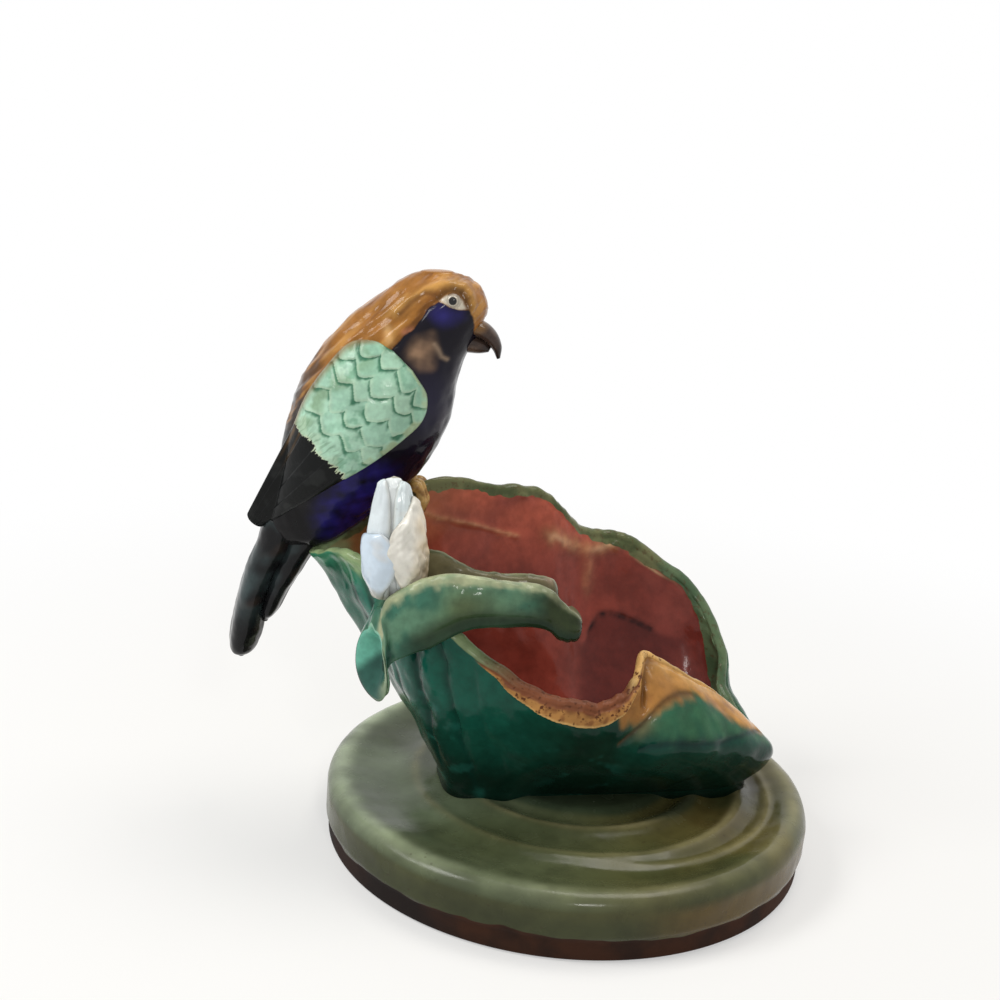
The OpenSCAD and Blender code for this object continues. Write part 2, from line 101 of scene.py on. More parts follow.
def mottle(P, size, seed, octaves=3):
    """Smooth uneven field from about -1 to 1: sums of sine waves in fixed chance directions, each octave
    half the length and half the height of the one before."""
    rng = np.random.default_rng(seed)
    total = np.zeros(P.shape[:-1])
    for o in range(octaves):
        k = rng.normal(size=(7, P.shape[-1]))
        k *= 2 * np.pi * 2**o / size / np.linalg.norm(k, axis=1, keepdims=True)
        total += np.sin(P @ k.T + rng.uniform(0, 2 * np.pi, 7)).sum(-1) / 4 / 2**o
    return total


def path_distance(x, y, path):
    """Distance of points from a broken line: the least of their distances to its straight stretches."""
    best = np.full(np.shape(x), 1e9)
    for (ax, ay), (bx, by) in zip(path[:-1], path[1:]):
        dx, dy = bx - ax, by - ay
        k = np.clip(((x - ax) * dx + (y - ay) * dy) / (dx * dx + dy * dy), 0, 1)
        best = np.minimum(best, np.hypot(x - ax - k * dx, y - ay - k * dy))
    return best


def drawn(x, y, line, width):
    """A stroke along a broken line: a bell curve of the distance from it."""
    return hump(path_distance(x, y, line), 0, width)


def patch(x, y, outline, soft):
    """1 inside a closed outline and 0 outside, eased over a width of soft each way, from the signed
    distance: the sign comes from counting the outline's sides to the right of each point."""
    closed = list(outline) + [outline[0]]
    inside = np.zeros(np.shape(x), bool)
    for (ax, ay), (bx, by) in zip(closed[:-1], closed[1:]):
        if ay != by:
            inside ^= ((ay > y) != (by > y)) & (x < ax + (bx - ax) * (y - ay) / (by - ay))
    d = path_distance(x, y, closed)
    return ease(np.where(inside, d, -d), -soft, soft)


def pot(r, g, b):
    """Glaze colour from its 0 to 255 values, as the linear values that a shader takes."""
    c = np.array([r, g, b]) / 255
    return np.where(c <= 0.04045, c / 12.92, ((c + 0.055) / 1.055) ** 2.4)


def coat(base, colour, share):
    """Lays a colour over another by a share from 0 to 1."""
    return lerp(base, np.broadcast_to(colour, base.shape), np.clip(share, 0, 1)[..., None])


def glazed(shape, ground, coats):
    """Colours over a grid: a ground colour under coats laid on in turn, each a colour and its share."""
    tint = np.broadcast_to(pot(*ground), shape).copy()
    for colour, share in coats:
        tint = coat(tint, pot(*colour) if isinstance(colour, tuple) else colour, share)
    return tint


def outward_normals(P):
    """Unit normals of a stack of closed rings, from the differences of neighbours along rows and round the
    rings, turned away from the rings' middles."""
    n = np.cross(np.gradient(P, axis=0), (np.roll(P, -1, 1) - np.roll(P, 1, 1)) / 2)
    n /= np.maximum(np.linalg.norm(n, axis=-1, keepdims=True), 1e-9)
    return n * np.sign(np.einsum("ijk,ijk->", n, P - P.mean(1, keepdims=True)))


# Meshes

def round_grid(rows, cols, low=0.0, high=1.0):
    """Grid of rings: the angle round and the share along, from low to high, at each point."""
    return np.meshgrid(np.linspace(0, 2 * np.pi, cols, endpoint=False), np.linspace(low, high, rows))


def dome(ring, angles, push):
    """Rings that shut an end: each is the end ring shrunk to its middle by an angle's cosine and pushed out
    by its sine."""
    q = angles[:, None, None]
    return lerp(ring.mean(0), ring, np.cos(q)) + np.array(push) * np.sin(q)


def tube_faces(rows, cols):
    """Four-sided faces round a stack of closed rings."""
    r, c = np.mgrid[0:rows - 1, 0:cols]
    d = (c + 1) % cols
    return np.stack([r * cols + c, r * cols + d, (r + 1) * cols + d, (r + 1) * cols + c], -1).reshape(-1, 4)


def shut_ends(P, how):
    """Extra points and faces that shut both end rings: a fan to a middle point, or for thin sections a
    band between the ring's two faces."""
    rows, cols = P.shape[:2]
    top = (rows - 1) * cols
    if how == "fan":
        j = np.arange(cols)
        k = (j + 1) % cols
        low = np.stack([np.full(cols, rows * cols), k, j], -1)
        high = np.stack([np.full(cols, rows * cols + 1), top + j, top + k], -1)
        return np.stack([P[0].mean(0), P[-1].mean(0)]), np.concatenate([low, high])
    a = np.arange(cols // 2 - 1)
    low = np.stack([cols - 1 - a, cols - 2 - a, a + 1, a], -1)
    return np.zeros((0, 3)), np.concatenate([low, top + low[:, ::-1]])


def shell(P, tint, masks=None, ends="fan"):
    """One closed surface over a grid of rings: its points, its faces as arrays of corners, and the values
    that its points carry, the colour among them."""
    rows, cols = P.shape[:2]
    extra, caps = shut_ends(P, ends)
    picks = np.array([0, rows - 1])[: len(extra)]

    def spread(a):
        """Values of the grid, then the mean of each end ring for the points that shut it."""
        flat = a.reshape(rows * cols, -1)
        return np.concatenate([flat, a[picks].mean(1).reshape(len(extra), flat.shape[1])])

    values = {key: spread(a) for key, a in {"tint": tint, **(masks or {})}.items()}
    return np.concatenate([P.reshape(-1, 3), extra]), [tube_faces(rows, cols), caps], values


def inside_out(points, faces):
    """Whether the faces point inwards: cut into triangles, they then hold a negative volume."""
    tri = np.concatenate([f[:, [0, i, i + 1]] for f in faces for i in range(1, f.shape[1] - 1)])
    a, b, c = np.moveaxis((points - points.mean(0))[tri], 1, 0)
    return np.einsum("ij,ij->", a, np.cross(b, c)) < 0


def piece(name, node, slot, material, *shells):
    """One object from one or more closed surfaces, in place of its node, with its colour and masks."""
    faces, first = [], 0
    for points, parts, _ in shells:
        turn = -1 if inside_out(points, parts) else 1
        for part in parts:
            faces.extend((first + part[:, ::turn]).tolist())
        first += len(points)
    mesh = bpy.data.meshes.new(name)
    mesh.from_pydata((np.concatenate([s[0] for s in shells]) / 1000).tolist(), [], faces)
    mesh.polygons.foreach_set("use_smooth", np.ones(len(mesh.polygons), bool))
    for key in shells[0][2]:
        values = np.concatenate([s[2][key] for s in shells]).astype(np.float32)
        if values.shape[1] == 1:
            mesh.attributes.new(key, "FLOAT", "POINT").data.foreach_set("value", values.ravel())
        else:
            values = np.concatenate([values, np.ones((len(values), 1), np.float32)], 1)
            mesh.attributes.new(key, "FLOAT_COLOR", "POINT").data.foreach_set("color", values.ravel())
    mesh.materials.append(material)
    mesh.update()
    obj = bpy.data.objects.new(name, mesh)
    bpy.context.scene.collection.objects.link(obj)
    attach(obj, "root")
    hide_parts(node)


# Glazes

MIX_SHARE, MIX_A, MIX_B, MIX_RESULT = 0, 6, 7, 2  # a mix node's colour sockets


def add_node(tree, kind, inputs=None, **settings):
    """A shader node with its settings and its inputs, each a value or another node's output."""
    node = tree.nodes.new("ShaderNode" + kind)
    for key, value in settings.items():
        setattr(node, key, value)
    for key, value in (inputs or {}).items():
        if isinstance(value, bpy.types.NodeSocket):
            tree.links.new(value, node.inputs[key])
        else:
            node.inputs[key].default_value = value
    return node


def eased_range(tree, value, low, high, to_low, to_high):
    """Carries low to to_low and high to to_high by a smooth step."""
    ends = {"From Min": low, "From Max": high, "To Min": to_low, "To Max": to_high}
    return add_node(tree, "MapRange", {"Value": value, **ends}, interpolation_type="SMOOTHSTEP").outputs["Result"]


class Glaze:
    """A gloss glaze: the piece's own tint, pooled lighter and darker by noise, with further coats laid on
    by masks that noise makes ragged, specks, uneven gloss and a faintly rippled skin."""

    def __init__(self, name, pool=0.25, pool_size=14, gloss=(0.10, 0.22), ripple=0.12, speck=0.0, shine=0.22):
        """The tint times the pools, which are pool_size millimetres wide, with roughness between gloss's two."""
        self.mat = bpy.data.materials.new(name)
        self.mat.use_nodes = True
        self.tree = self.mat.node_tree
        self.shader = self.tree.nodes["Principled BSDF"]
        self.shader.inputs["IOR"].default_value = 1.5
        self.shader.inputs["Specular IOR Level"].default_value = shine
        self.coord = add_node(self.tree, "TexCoord").outputs["Object"]
        pools = self.sum(self.noise(1000 / pool_size, 5), self.noise(4000 / pool_size, 3), 0.4)
        shade = self.spread(pools, 0.45, 0.95, 1 - pool, 1 + pool * 0.8)
        self.colour = self.mix(self.painted("tint"), shade, 1.0, "MULTIPLY")
        if speck:
            near = self.spread(self.cells(420), 0.10, 0.22, speck, 0.0)
            some = self.spread(self.noise(160, 2), 0.52, 0.62, 0.0, 1.0)
            self.colour = self.mix(self.colour, (0.03, 0.015, 0.008, 1), self.times(near, some))
        self.rough = self.spread(self.noise(110, 3), 0.3, 0.7, *gloss)
        skin = self.sum(self.noise(260, 3), self.noise(900, 2), 0.35)
        bump = add_node(self.tree, "Bump", {"Strength": ripple, "Distance": 0.0006, "Height": skin})
        self.tree.links.new(bump.outputs["Normal"], self.shader.inputs["Normal"])

    def noise(self, scale, detail):
        """Smooth noise of a given number of waves to the metre."""
        return add_node(self.tree, "TexNoise", {"Vector": self.coord, "Scale": scale, "Detail": detail}).outputs["Fac"]

    def cells(self, scale):
        """Distance from the nearest of scattered points."""
        return add_node(self.tree, "TexVoronoi", {"Vector": self.coord, "Scale": scale}).outputs["Distance"]

    def mask(self, name):
        """A value that the surface's points carry."""
        return add_node(self.tree, "Attribute", attribute_name=name).outputs["Fac"]

    def painted(self, name):
        """A colour that the surface's points carry."""
        return add_node(self.tree, "Attribute", attribute_name=name).outputs["Color"]

    def math(self, how, a, b):
        """Two values put through one operation."""
        return add_node(self.tree, "Math", {0: a, 1: b}, operation=how).outputs[0]

    def sum(self, a, b, share):
        """a plus a share of b."""
        return self.math("ADD", a, self.math("MULTIPLY", b, share))

    def times(self, a, b):
        """a times b."""
        return self.math("MULTIPLY", a, b)

    def spread(self, value, low, high, to_low, to_high):
        """Carries low to to_low and high to to_high by a smooth step."""
        return eased_range(self.tree, value, low, high, to_low, to_high)

    def mix(self, a, b, share, how="MIX"):
        """Colour b over colour a by a share."""
        sockets = {MIX_SHARE: share, MIX_A: a, MIX_B: b}
        return add_node(self.tree, "Mix", sockets, data_type="RGBA", blend_type=how).outputs[MIX_RESULT]

    def ragged(self, mask, size, amount, soft):
        """Share of a coat: its mask, pushed to and fro by noise and cut to a narrow edge."""
        shifted = self.sum(self.mask(mask), self.math("SUBTRACT", self.noise(1000 / size, 4), 0.5), amount)
        return self.spread(shifted, 0.5 - soft, 0.5 + soft, 0.0, 1.0)

    def over(self, mask, colour, other, size=4, amount=0.5, soft=0.12):
        """Lays a coat of two mixed colours where the mask is."""
        share = self.ragged(mask, size, amount, soft)
        blend = self.spread(self.noise(1000 / (size * 1.7), 4), 0.4, 0.62, 0.0, 1.0)
        both = self.mix((*colour, 1), (*other, 1), blend)
        self.colour = self.mix(self.colour, both, share)
        return share

    def dull(self, share, rough):
        """Takes the gloss down to a given roughness where the share is 1."""
        mixed = add_node(self.tree, "Mix", {0: share, 2: self.rough, 3: rough}, data_type="FLOAT")
        self.rough = mixed.outputs[0]

    def done(self):
        """Joins colour and roughness to the shader and gives the material."""
        self.tree.links.new(self.colour, self.shader.inputs["Base Color"])
        self.tree.links.new(self.rough, self.shader.inputs["Roughness"])
        return self.mat


# Round base

BASE_R, BASE_H, BASE_WALL, FOOT_H, SHOULDER = 77.0, 20.0, 6.0, 7.0, 5.0
RING_R, RING_PITCH, RING_RISE, RING_STEP, RING_SHIFT = 52.0, 14.0, 1.6, 1.0, 3.0
POND_Z, PLATEAU_Z, CEILING_Z = 17.9, 22.0, 13.0


def base_surface(cols=420):
    """The base as rings at heights: up the hollow's wall, round the foot, up the side, over the rounded
    shoulder, across the pond and up the water rings, whose circles drift from the base's middle to the
    rings' own. The water rings are a sharpened cosine wave on a slope, uneven round the circle and faint at
    the left; inside them the slope runs up to the leaf's seat."""
    a = np.linspace(0, 2 * np.pi, cols, endpoint=False)
    circle = np.stack([np.cos(a), np.sin(a)], -1)
    rows = []

    def ring(r, z, shift=0.0):
        """Adds one ring of radius r at height z, both the same all round or one value to each point."""
        xy = np.broadcast_to(r, (cols,))[:, None] * circle + [shift, 0]
        rows.append(np.concatenate([xy, np.broadcast_to(z, (cols,))[:, None]], 1))

    inner = BASE_R - BASE_WALL
    for q in np.linspace(0.02, 1, 10):
        ring(q * (inner - SHOULDER), CEILING_Z)
    for q in np.linspace(0.15, 1, 6) * math.pi / 2:
        ring(inner - SHOULDER + SHOULDER * math.sin(q), CEILING_Z - SHOULDER + SHOULDER * math.cos(q))
    for z in np.linspace(CEILING_Z - SHOULDER, 1, 7)[1:]:
        ring(inner, z)
    for q in np.linspace(0, 1, 6) * math.pi / 2:
        ring(inner + 0.8 - 0.8 * math.cos(q), 1 - math.sin(q))
    for q in np.linspace(0.15, 1, 5) * math.pi / 2:
        ring(BASE_R - 2 + math.sin(q), 1 - math.cos(q))
    uneven = 0.5 * np.sin(a * 2 + 1) + 0.35 * np.sin(a * 5 + 2) + 0.2 * np.sin(a * 11)
    for z in np.linspace(1.6, BASE_H - SHOULDER, 18):
        ring(BASE_R - 1 + ease(z, FOOT_H - 1.0, FOOT_H + 0.8) + 0.12 * uneven, z)
    for q in np.linspace(0.08, 1, 14) * math.pi / 2:
        ring(BASE_R - SHOULDER + SHOULDER * math.cos(q) + 0.12 * uneven, BASE_H - SHOULDER + SHOULDER * math.sin(q))
    outer = RING_R + RING_PITCH / 2
    for q in np.linspace(0, 1, 22)[1:]:
        dip = (BASE_H - POND_Z) * ease(q, 0, 0.9)
        ring(lerp(BASE_R - SHOULDER, outer, q), BASE_H - dip, RING_SHIFT * q)
    strong = 0.35 + 0.65 * ease(np.cos(a + 0.5), -0.8, 0.2)
    drift = 0.035 * np.sin(a + 2.2) + 0.03 * np.sin(2 * a + 0.4)
    for q in np.linspace(outer, 3.0, 104)[1:]:
        s = (RING_R - q) / RING_PITCH + drift * ease(outer - q, 0, 5)
        crest = ((1 + np.cos(2 * np.pi * s)) / 2) ** 1.7
        wave = BASE_H + RING_STEP * s + RING_RISE * (strong * crest - 1)
        ring(q, lerp(wave, PLATEAU_Z, ease(s, 1.4, 1.85)), RING_SHIFT)
    return np.array(rows)


def make_base():
    """The base, a little uneven, with a third faint ring, in olive glaze that is paler on the rings, with a painted
    highlight along the shoulder and painted shade on the front, down the side and round the leaf's foot, over a
    bare clay foot and hollow with painted shade towards the left."""
    P = base_surface()
    x, y, z = np.moveaxis(P, -1, 0)
    top = ease(z, BASE_H - SHOULDER, BASE_H - 3)
    third = hump(np.hypot(x - 9.5, y - 1), 55.5, 1.5) * ease(x - 0.35 * y, 18, 46) * top
    P[..., 2] += 0.22 * mottle(P, 34, 3) * top + 0.55 * third
    P[..., :2] *= (1 + 0.0022 * mottle(P, 26, 4) * ease(z, 1, 3) * (1 - top))[..., None]
    rho, out = np.hypot(x - RING_SHIFT, y), np.hypot(x, y)
    left = ease(-x - 0.2 * y, -20, 45)
    wash = (0.8 - 0.5 * left) * (0.75 + 0.3 * mottle(P, 16, 12, 2))
    shoulder = hump(out, BASE_R - 4.2, 2.8) * ease(z, 15.5, 17.5) * (0.7 + 0.4 * mottle(P, 22, 10, 2))
    ahead = ease(-y - 0.2 * np.abs(x), 20, 50)
    pale = lerp(pot(140, 136, 98), pot(164, 176, 144), left[..., None])
    side = ease(out, BASE_R - 3, BASE_R - 1.2)
    line = FOOT_H + 0.9 * np.sin(3 * np.arctan2(y, x) + 1) + 0.7 * mottle(P, 18, 11)
    under = 1 - side * ease(z, 0.2, 1.2)
    clay = np.maximum(ease(line - z, -0.9, 0.9), under * ease(17 - z, 0, 2))
    seat = ease(66 - np.hypot(x - 8, (y - 1) * 1.9), 0, 12) * ease(z, 20, 21.2)
    tint = glazed(P.shape, (78, 80, 50), [
        ((86, 78, 42), 0.8 * ease(x - 0.3 * y, 5, 50)),
        ((94, 106, 82), left * top),
        ((62, 70, 44), 0.7 * ease(mottle(P, 50, 8, 2), -0.1, 0.8) * top),
        ((82, 72, 38), 0.85 * ease(mottle(P, 30, 9), -0.2, 0.7) * ease(x, -5, 35) * ease(60 - rho, 0, 8) * top),
        ((150, 142, 104), wash * hump(rho, RING_R, 1.5)),
        ((150, 142, 104), wash * hump(rho, RING_R - RING_PITCH, 1.3)),
        ((140, 132, 94), 0.6 * third),
        # Painted shade on the front, and a painted highlight along the shoulder, brightest at the left and fainter in
        # front.
        ((60, 64, 38), 0.6 * ahead),
        (pale, 0.85 * shoulder * (1 - 0.5 * ahead)),
        ((176, 190, 162), 0.7 * shoulder * ease(-x, 52, 68)),
        # Painted shade down the side wall, lighter at the far left.
        ((56, 60, 36), 0.9 * ease(16.5 - z, 0, 6) * ease(z, 3, 7) * (1 - 0.6 * ease(-x, 55, 70))),
        ((102, 78, 34), 0.6 * side * ease(x, 15, 40) * span(z, 4, 8, 13, 17)),
        # Painted shade round the leaf's foot, under its overhang.
        ((44, 58, 44), 0.8 * seat)])
    # Painted shade on the bare clay, darker towards the left.
    shade = ease(-x + 0.3 * y, -10, 40)
    g = Glaze("base_glaze", pool=0.22, pool_size=22, gloss=(0.14, 0.30), ripple=0.08, speck=0.30)
    share = g.over("clay", pot(56, 31, 18), pot(36, 20, 12), size=9, amount=0.35, soft=0.10)
    g.over("painted_clay_shade", pot(40, 25, 20), pot(26, 18, 16), size=12, amount=0.4, soft=0.3)
    g.dull(share, 0.85)
    piece("water_base", "base_plinth", "base_glaze", g.done(), shell(P, tint, {"clay": clay, "painted_clay_shade": clay * shade}))


# Curled leaf dish

LEAF_EDGE = np.array([
    [1.00, 0.19, 0.13, 0.30], [0.84, 0.53, 0.25, 0.47], [0.83, 0.75, 0.375, 0.47], [0.68, 0.97, 0.537, 0.47],
    [0.36, 1.00, 0.70, 0.41], [0.17, 0.98, 0.75, 0.41], [0.01, 0.89, 0.765, 0.35], [-0.09, 0.77, 0.85, 0.30],
    [-0.19, 0.67, 0.93, 0.24], [-0.40, 0.46, 0.97, 0.18], [-0.61, 0.23, 1.00, 0.12], [-0.80, 0.12, 0.895, 0.06],
    [-1.00, 0.00, 0.77, 0.00], [-0.91, -0.35, 0.82, 0.00], [-0.81, -0.55, 0.825, 0.06], [-0.66, -0.70, 0.75, 0.12],
    [-0.52, -0.825, 0.685, 0.18], [-0.35, -0.91, 0.565, 0.24], [-0.14, -1.00, 0.475, 0.30], [0.00, -1.00, 0.455, 0.30],
    [0.125, -0.93, 0.455, 0.35], [0.25, -0.75, 0.495, 0.60], [0.32, -0.49, 0.555, 1.00], [0.53, -0.33, 0.475, 0.90],
    [0.735, -0.13, 0.36, 0.65], [0.905, 0.06, 0.23, 0.47]])
LEAF_N = len(LEAF_EDGE)
EDGE_STEP, WALL_RUN = 15, 42  # millimetres to an entry of the edge and from foot to edge, for lines on the wall
LEAF_LEFT, LEAF_RIGHT, LEAF_FRONT, LEAF_BACK = 86.0, 64.0, 40.0, 52.0
FOOT_LONG, FOOT_SHORT = 50, 19
LEAF_MID = np.array([8.0, 1.0])
LEAF_WALL, LEAF_BULGE, LEAF_RISE, LEAF_FLOOR, RIM_RISE, SEAT_Z = 4.5, 17.0, 92.0, 9.0, 1.6, 19.0
LEAF_TURN = math.radians(12)


def leaf_edge(u):
    """Edge of the leaf at u: x, y, z and the bulge of the wall below it."""
    e = loop_at(LEAF_EDGE, u)
    x = e[..., 0] * np.where(e[..., 0] < 0, LEAF_LEFT, LEAF_RIGHT)
    y = e[..., 1] * np.where(e[..., 1] < 0, LEAF_FRONT, LEAF_BACK)
    return np.stack([x, y, SEAT_Z + e[..., 2] * LEAF_RISE, e[..., 3] * LEAF_BULGE], -1)


def leaf_outward(u):
    """Level unit direction from the leaf's middle to its edge at u."""
    return unit(leaf_edge(u)[..., :2] - LEAF_MID)


def leaf_foot(u):
    """Outline of the leaf's foot in the direction of the edge at u: a squared oval, whose two half sizes
    are raised to the fourth power, turned on the base."""
    o = leaf_outward(u)
    a = np.arctan2(o[..., 1], o[..., 0]) - LEAF_TURN
    r = ((np.cos(a) / FOOT_LONG) ** 4 + (np.sin(a) / FOOT_SHORT) ** 4) ** -0.25
    return LEAF_MID + r[..., None] * np.stack([np.cos(a + LEAF_TURN), np.sin(a + LEAF_TURN)], -1)


def leaf_wall(u, t, depth):
    """Wall from the foot at t = 0 to the edge at t = 1: straight between them, pushed out by the bulge
    times a half sine wave and in by depth."""
    e, f, o = leaf_edge(u), leaf_foot(u), leaf_outward(u)
    out = e[..., 3] * np.sin(np.pi * t) - depth
    xy = lerp(f, e[..., :2], t[..., None]) + o * out[..., None]
    return np.concatenate([xy, lerp(PLATEAU_Z + 0.2, e[..., 2], t)[..., None]], -1)


def leaf_length(u):
    """Straight distance from the leaf's foot to its edge at u."""
    none = np.zeros_like(u)
    return np.linalg.norm(leaf_wall(u, none + 1, none) - leaf_wall(u, none, none), axis=-1)


def edge_wave(u):
    """Uneven rise and fall along the edge."""
    along = np.stack([EDGE_STEP * LEAF_N * u, 0 * u], -1)
    return 0.7 * mottle(along, 26, 33) + 0.3 * mottle(along, 9, 34)


def edge_lift(u, t):
    """Rise of the wall towards its edge: the edge's wave, less a quarter of the wall's thickness at the top."""
    return edge_wave(u) * ease(t, 0.8, 1.0) - LEAF_WALL / 4 * ease(t, 0.94, 1.0)


def leaf_paths(x, y, **lines):
    """Distance of places on the wall from each named line, whose places are given in entries of the edge
    and in the second measure of y."""
    return {name: path_distance(x, y, [(EDGE_STEP * k, v) for k, v in line]) for name, line in lines.items()}


def wall_patch(k, run, soft, outline):
    """Patch on the wall at an entry of the edge and a run up from the foot, its outline given in entries
    and shares of the height."""
    return patch(EDGE_STEP * k, run, [(EDGE_STEP * a, WALL_RUN * b) for a, b in outline], soft)


def leaf_relief(k, t, P):
    """Height of the outer wall's modelling: uneven flutes that run up from the foot at the left and behind,
    lumps, and the folds of the front lobe, with the distances from these folds."""
    left = span(k, 11.6, 12.6, 16.4, 18.4)
    behind = span(k, 1.5, 3.0, 10.5, 11.5)
    place = k - 0.06 + 0.16 * np.sin(2.3 * k) + 0.10 * np.sin(4 * t + k) + 0.05 * mottle(P, 16, 21)
    flute = np.abs(np.sin(np.pi * place)) ** 0.75
    fade = ease(t, 0.02, 0.25) * (1 - 0.7 * ease(t, 0.85, 0.99))
    h = (flute - 0.65) * fade * ((0.35 + 1.15 * ease(k, 14.5, 15.5)) * left + 1.1 * behind)
    lumps = 0.5 * mottle(P, 17, 22) + 0.25 * left * ease(k, 14.5, 15.5) * mottle(P, 7, 23)
    h += lumps * span(t, 0.02, 0.15, 0.88, 1.0)
    far = leaf_paths(
        EDGE_STEP * k, WALL_RUN * t,
        crease=[(20.5, 26.5), (20.75, 28.3), (21.12, 29.9), (21.58, 31.0), (22.3, 34.2), (22.6, 35.2)],
        under=[(21.2, 23.0), (21.6, 22.4), (22.35, 21.8), (22.92, 22.3), (23.45, 25.5), (24.2, 29.5)],
        groove=[(22.05, 41.6), (21.75, 40.0), (21.45, 38.2), (21.3, 35.2)])
    h += -0.55 * hump(far["crease"], 0, 0.9) + 0.3 * hump(far["crease"], 2.4, 1.6)
    h += -0.6 * hump(far["under"], 0, 1.2)
    return h - 1.5 * hump(far["groove"], 0, 1.7), far, flute


def lip_strip(k, high):
    """The flared lip at the front: its share at a place, how far down it the place lies and its depth."""
    depth = np.interp(k, [16.8, 17.4, 18.0, 18.4, 19.0, 19.9, 20.5, 21.0, 21.4, 21.9],
                      [0, 3.6, 5.7, 6.7, 7.5, 6.7, 5.4, 2.8, 1.5, 0])
    share = ease(depth - high, -0.25, 0.25) * ease(depth, 0.3, 1.5)
    return share, np.clip(high / np.maximum(depth, 0.1), 0, 1), depth


def leaf_outside(u):
    """Outer wall: the plain wall with its relief, and the front lip flared outwards over an undercut."""
    U, T = np.meshgrid(u, np.concatenate([np.linspace(0, 0.78, 46), np.linspace(0.78, 1, 36)[1:]]))
    K, high = U * LEAF_N, (1 - T) * leaf_length(u)
    P = leaf_wall(U, T, np.zeros_like(U))
    relief, far, flute = leaf_relief(K, T, P)
    strip, down, depth = lip_strip(K, high)
    flare = 2.3 * ease(depth, 1, 6) * down**0.9 + 0.12 * mottle(P, 5, 31)
    o = leaf_outward(u)
    P[..., :2] += o * lerp(relief, flare, strip)[..., None]
    P[..., 2] += edge_lift(u, T)

    front = ease(K, 16.6, 19.0)
    lobe = ease(K, 20.2, 21.2)
    left = span(K, 11.6, 12.4, 15.6, 17.0)
    behind = fall(K, 10.4, 11.6)
    streak = mottle(np.stack([EDGE_STEP * K / 3, WALL_RUN * T / 14], -1), 1.2, 42)
    teal = wall_patch(K, WALL_RUN * T + 1.1 * streak, 2.6, [
        (21.5, 0.66), (22.1, 0.76), (22.5, 0.81), (22.9, 0.83), (23.2, 0.72), (23.8, 0.66), (24.4, 0.69),
        (25.2, 0.84), (26, 1.0), (26, 0.55), (24.6, 0.56), (23.4, 0.59), (22.6, 0.535), (21.8, 0.55)])
    ochre = wall_patch(K, WALL_RUN * T + 0.7 * streak, 1.9, [
        (20.5, 0.78), (21.2, 0.755), (21.58, 0.74), (22.3, 0.80), (22.7, 0.85), (23.0, 0.82), (23.25, 0.735),
        (23.8, 0.67), (24.3, 0.70), (24.8, 0.79), (25.3, 0.93), (25.5, 1.2), (21.0, 1.2), (20.4, 0.9)])
    tip = ease(K, 25.0, 25.8) + fall(K, 0.2, 0.9)
    band = lerp(pot(112, 66, 42), pot(164, 118, 66), ease(down + 0.16 * mottle(P, 5, 45), 0.15, 0.6)[..., None])
    band = coat(band, pot(104, 58, 34), 0.6 * ease(mottle(P, 3.5, 46), 0.15, 0.8))
    band = coat(band, pot(214, 176, 112), 0.9 * ease(down, 0.80, 0.97))
    tint = glazed(P.shape, (20, 80, 66), [
        # Painted shade: darker towards the foot, on the front wall under the flared lip and under the lobe.
        ((13, 36, 27), 0.85 * ease(0.45 - T, -0.1, 0.4)),
        ((14, 38, 28), 0.9 * front * (1 - lobe) * ease(0.95 - T, 0, 0.25)),
        ((14, 40, 30), 0.7 * lobe * ease(0.66 - T, -0.05, 0.3)),
        # Painted highlight on the flutes' crests at the left and painted shade in their grooves.
        ((32, 124, 106), 0.85 * left * (1 - 0.6 * ease(K, 14.8, 15.8)) * ease(flute, 0.4, 0.9)
         * ease(T, 0.3, 0.7) * (0.8 + 0.25 * mottle(P, 14, 40))),
        ((10, 52, 44), 0.8 * left * ease(0.6 - flute, 0, 0.4)),
        ((40, 108, 96), 0.6 * (left + 0.6 * front * (1 - lobe)) * ease(mottle(P, 11, 24), 0.35, 1.0)
         * ease(0.7 - T, 0, 0.2)),
        ((62, 124, 92), 0.8 * span(K, 11.4, 12.2, 14.4, 15.4) * ease(T + 0.03 * mottle(P, 9, 39), 0.82, 0.95)),
        ((142, 166, 118), 0.85 * span(K, 13.0, 13.6, 14.6, 15.4) * ease(T + 0.03 * mottle(P, 6, 38), 0.90, 0.97)),
        ((26, 72, 54), 0.7 * span(K, 11.4, 12.2, 12.9, 13.3) * ease(0.97 - T, 0, 0.05)),
        # Painted highlight on the flutes' crests behind.
        ((40, 104, 84), 0.5 * behind * ease(flute, 0.4, 0.95)),
        ((74, 100, 74), 0.7 * behind * ease(T, 0.82, 1.0)),
        ((58, 104, 74), 0.9 * teal * (0.85 + 0.2 * streak)),
        ((150, 140, 96), 0.55 * hump(K, 21.25, 0.35) * hump(T, 0.70, 0.07)),
        ((198, 144, 74), ochre),
        ((218, 170, 100), 0.75 * ochre * ease(T, 0.84, 0.97) * (0.7 + 0.4 * mottle(P, 9, 43))),
        ((150, 100, 52), 0.6 * ochre * ease(mottle(P, 12, 44), 0.1, 0.9)),
        ((134, 90, 48), 0.65 * ochre * ease(22.9 - K, 0, 0.9) * ease(0.97 - T, 0, 0.08)),
        # Painted shadow in the groove beside the lip.
        ((104, 66, 32), 0.8 * hump(far["groove"], 0, 2.0)),
        ((76, 52, 28), 0.75 * hump(far["crease"], 0, 0.8)),
        ((8, 44, 42), 0.8 * hump(far["under"], 0, 1.1)),
        ((50, 88, 64), 0.5 * np.clip(tip, 0, 1)),
        (band, strip)])
    pitted = strip * (1 - 0.75 * ease(down, 0.82, 0.95))
    return P, tint, pitted


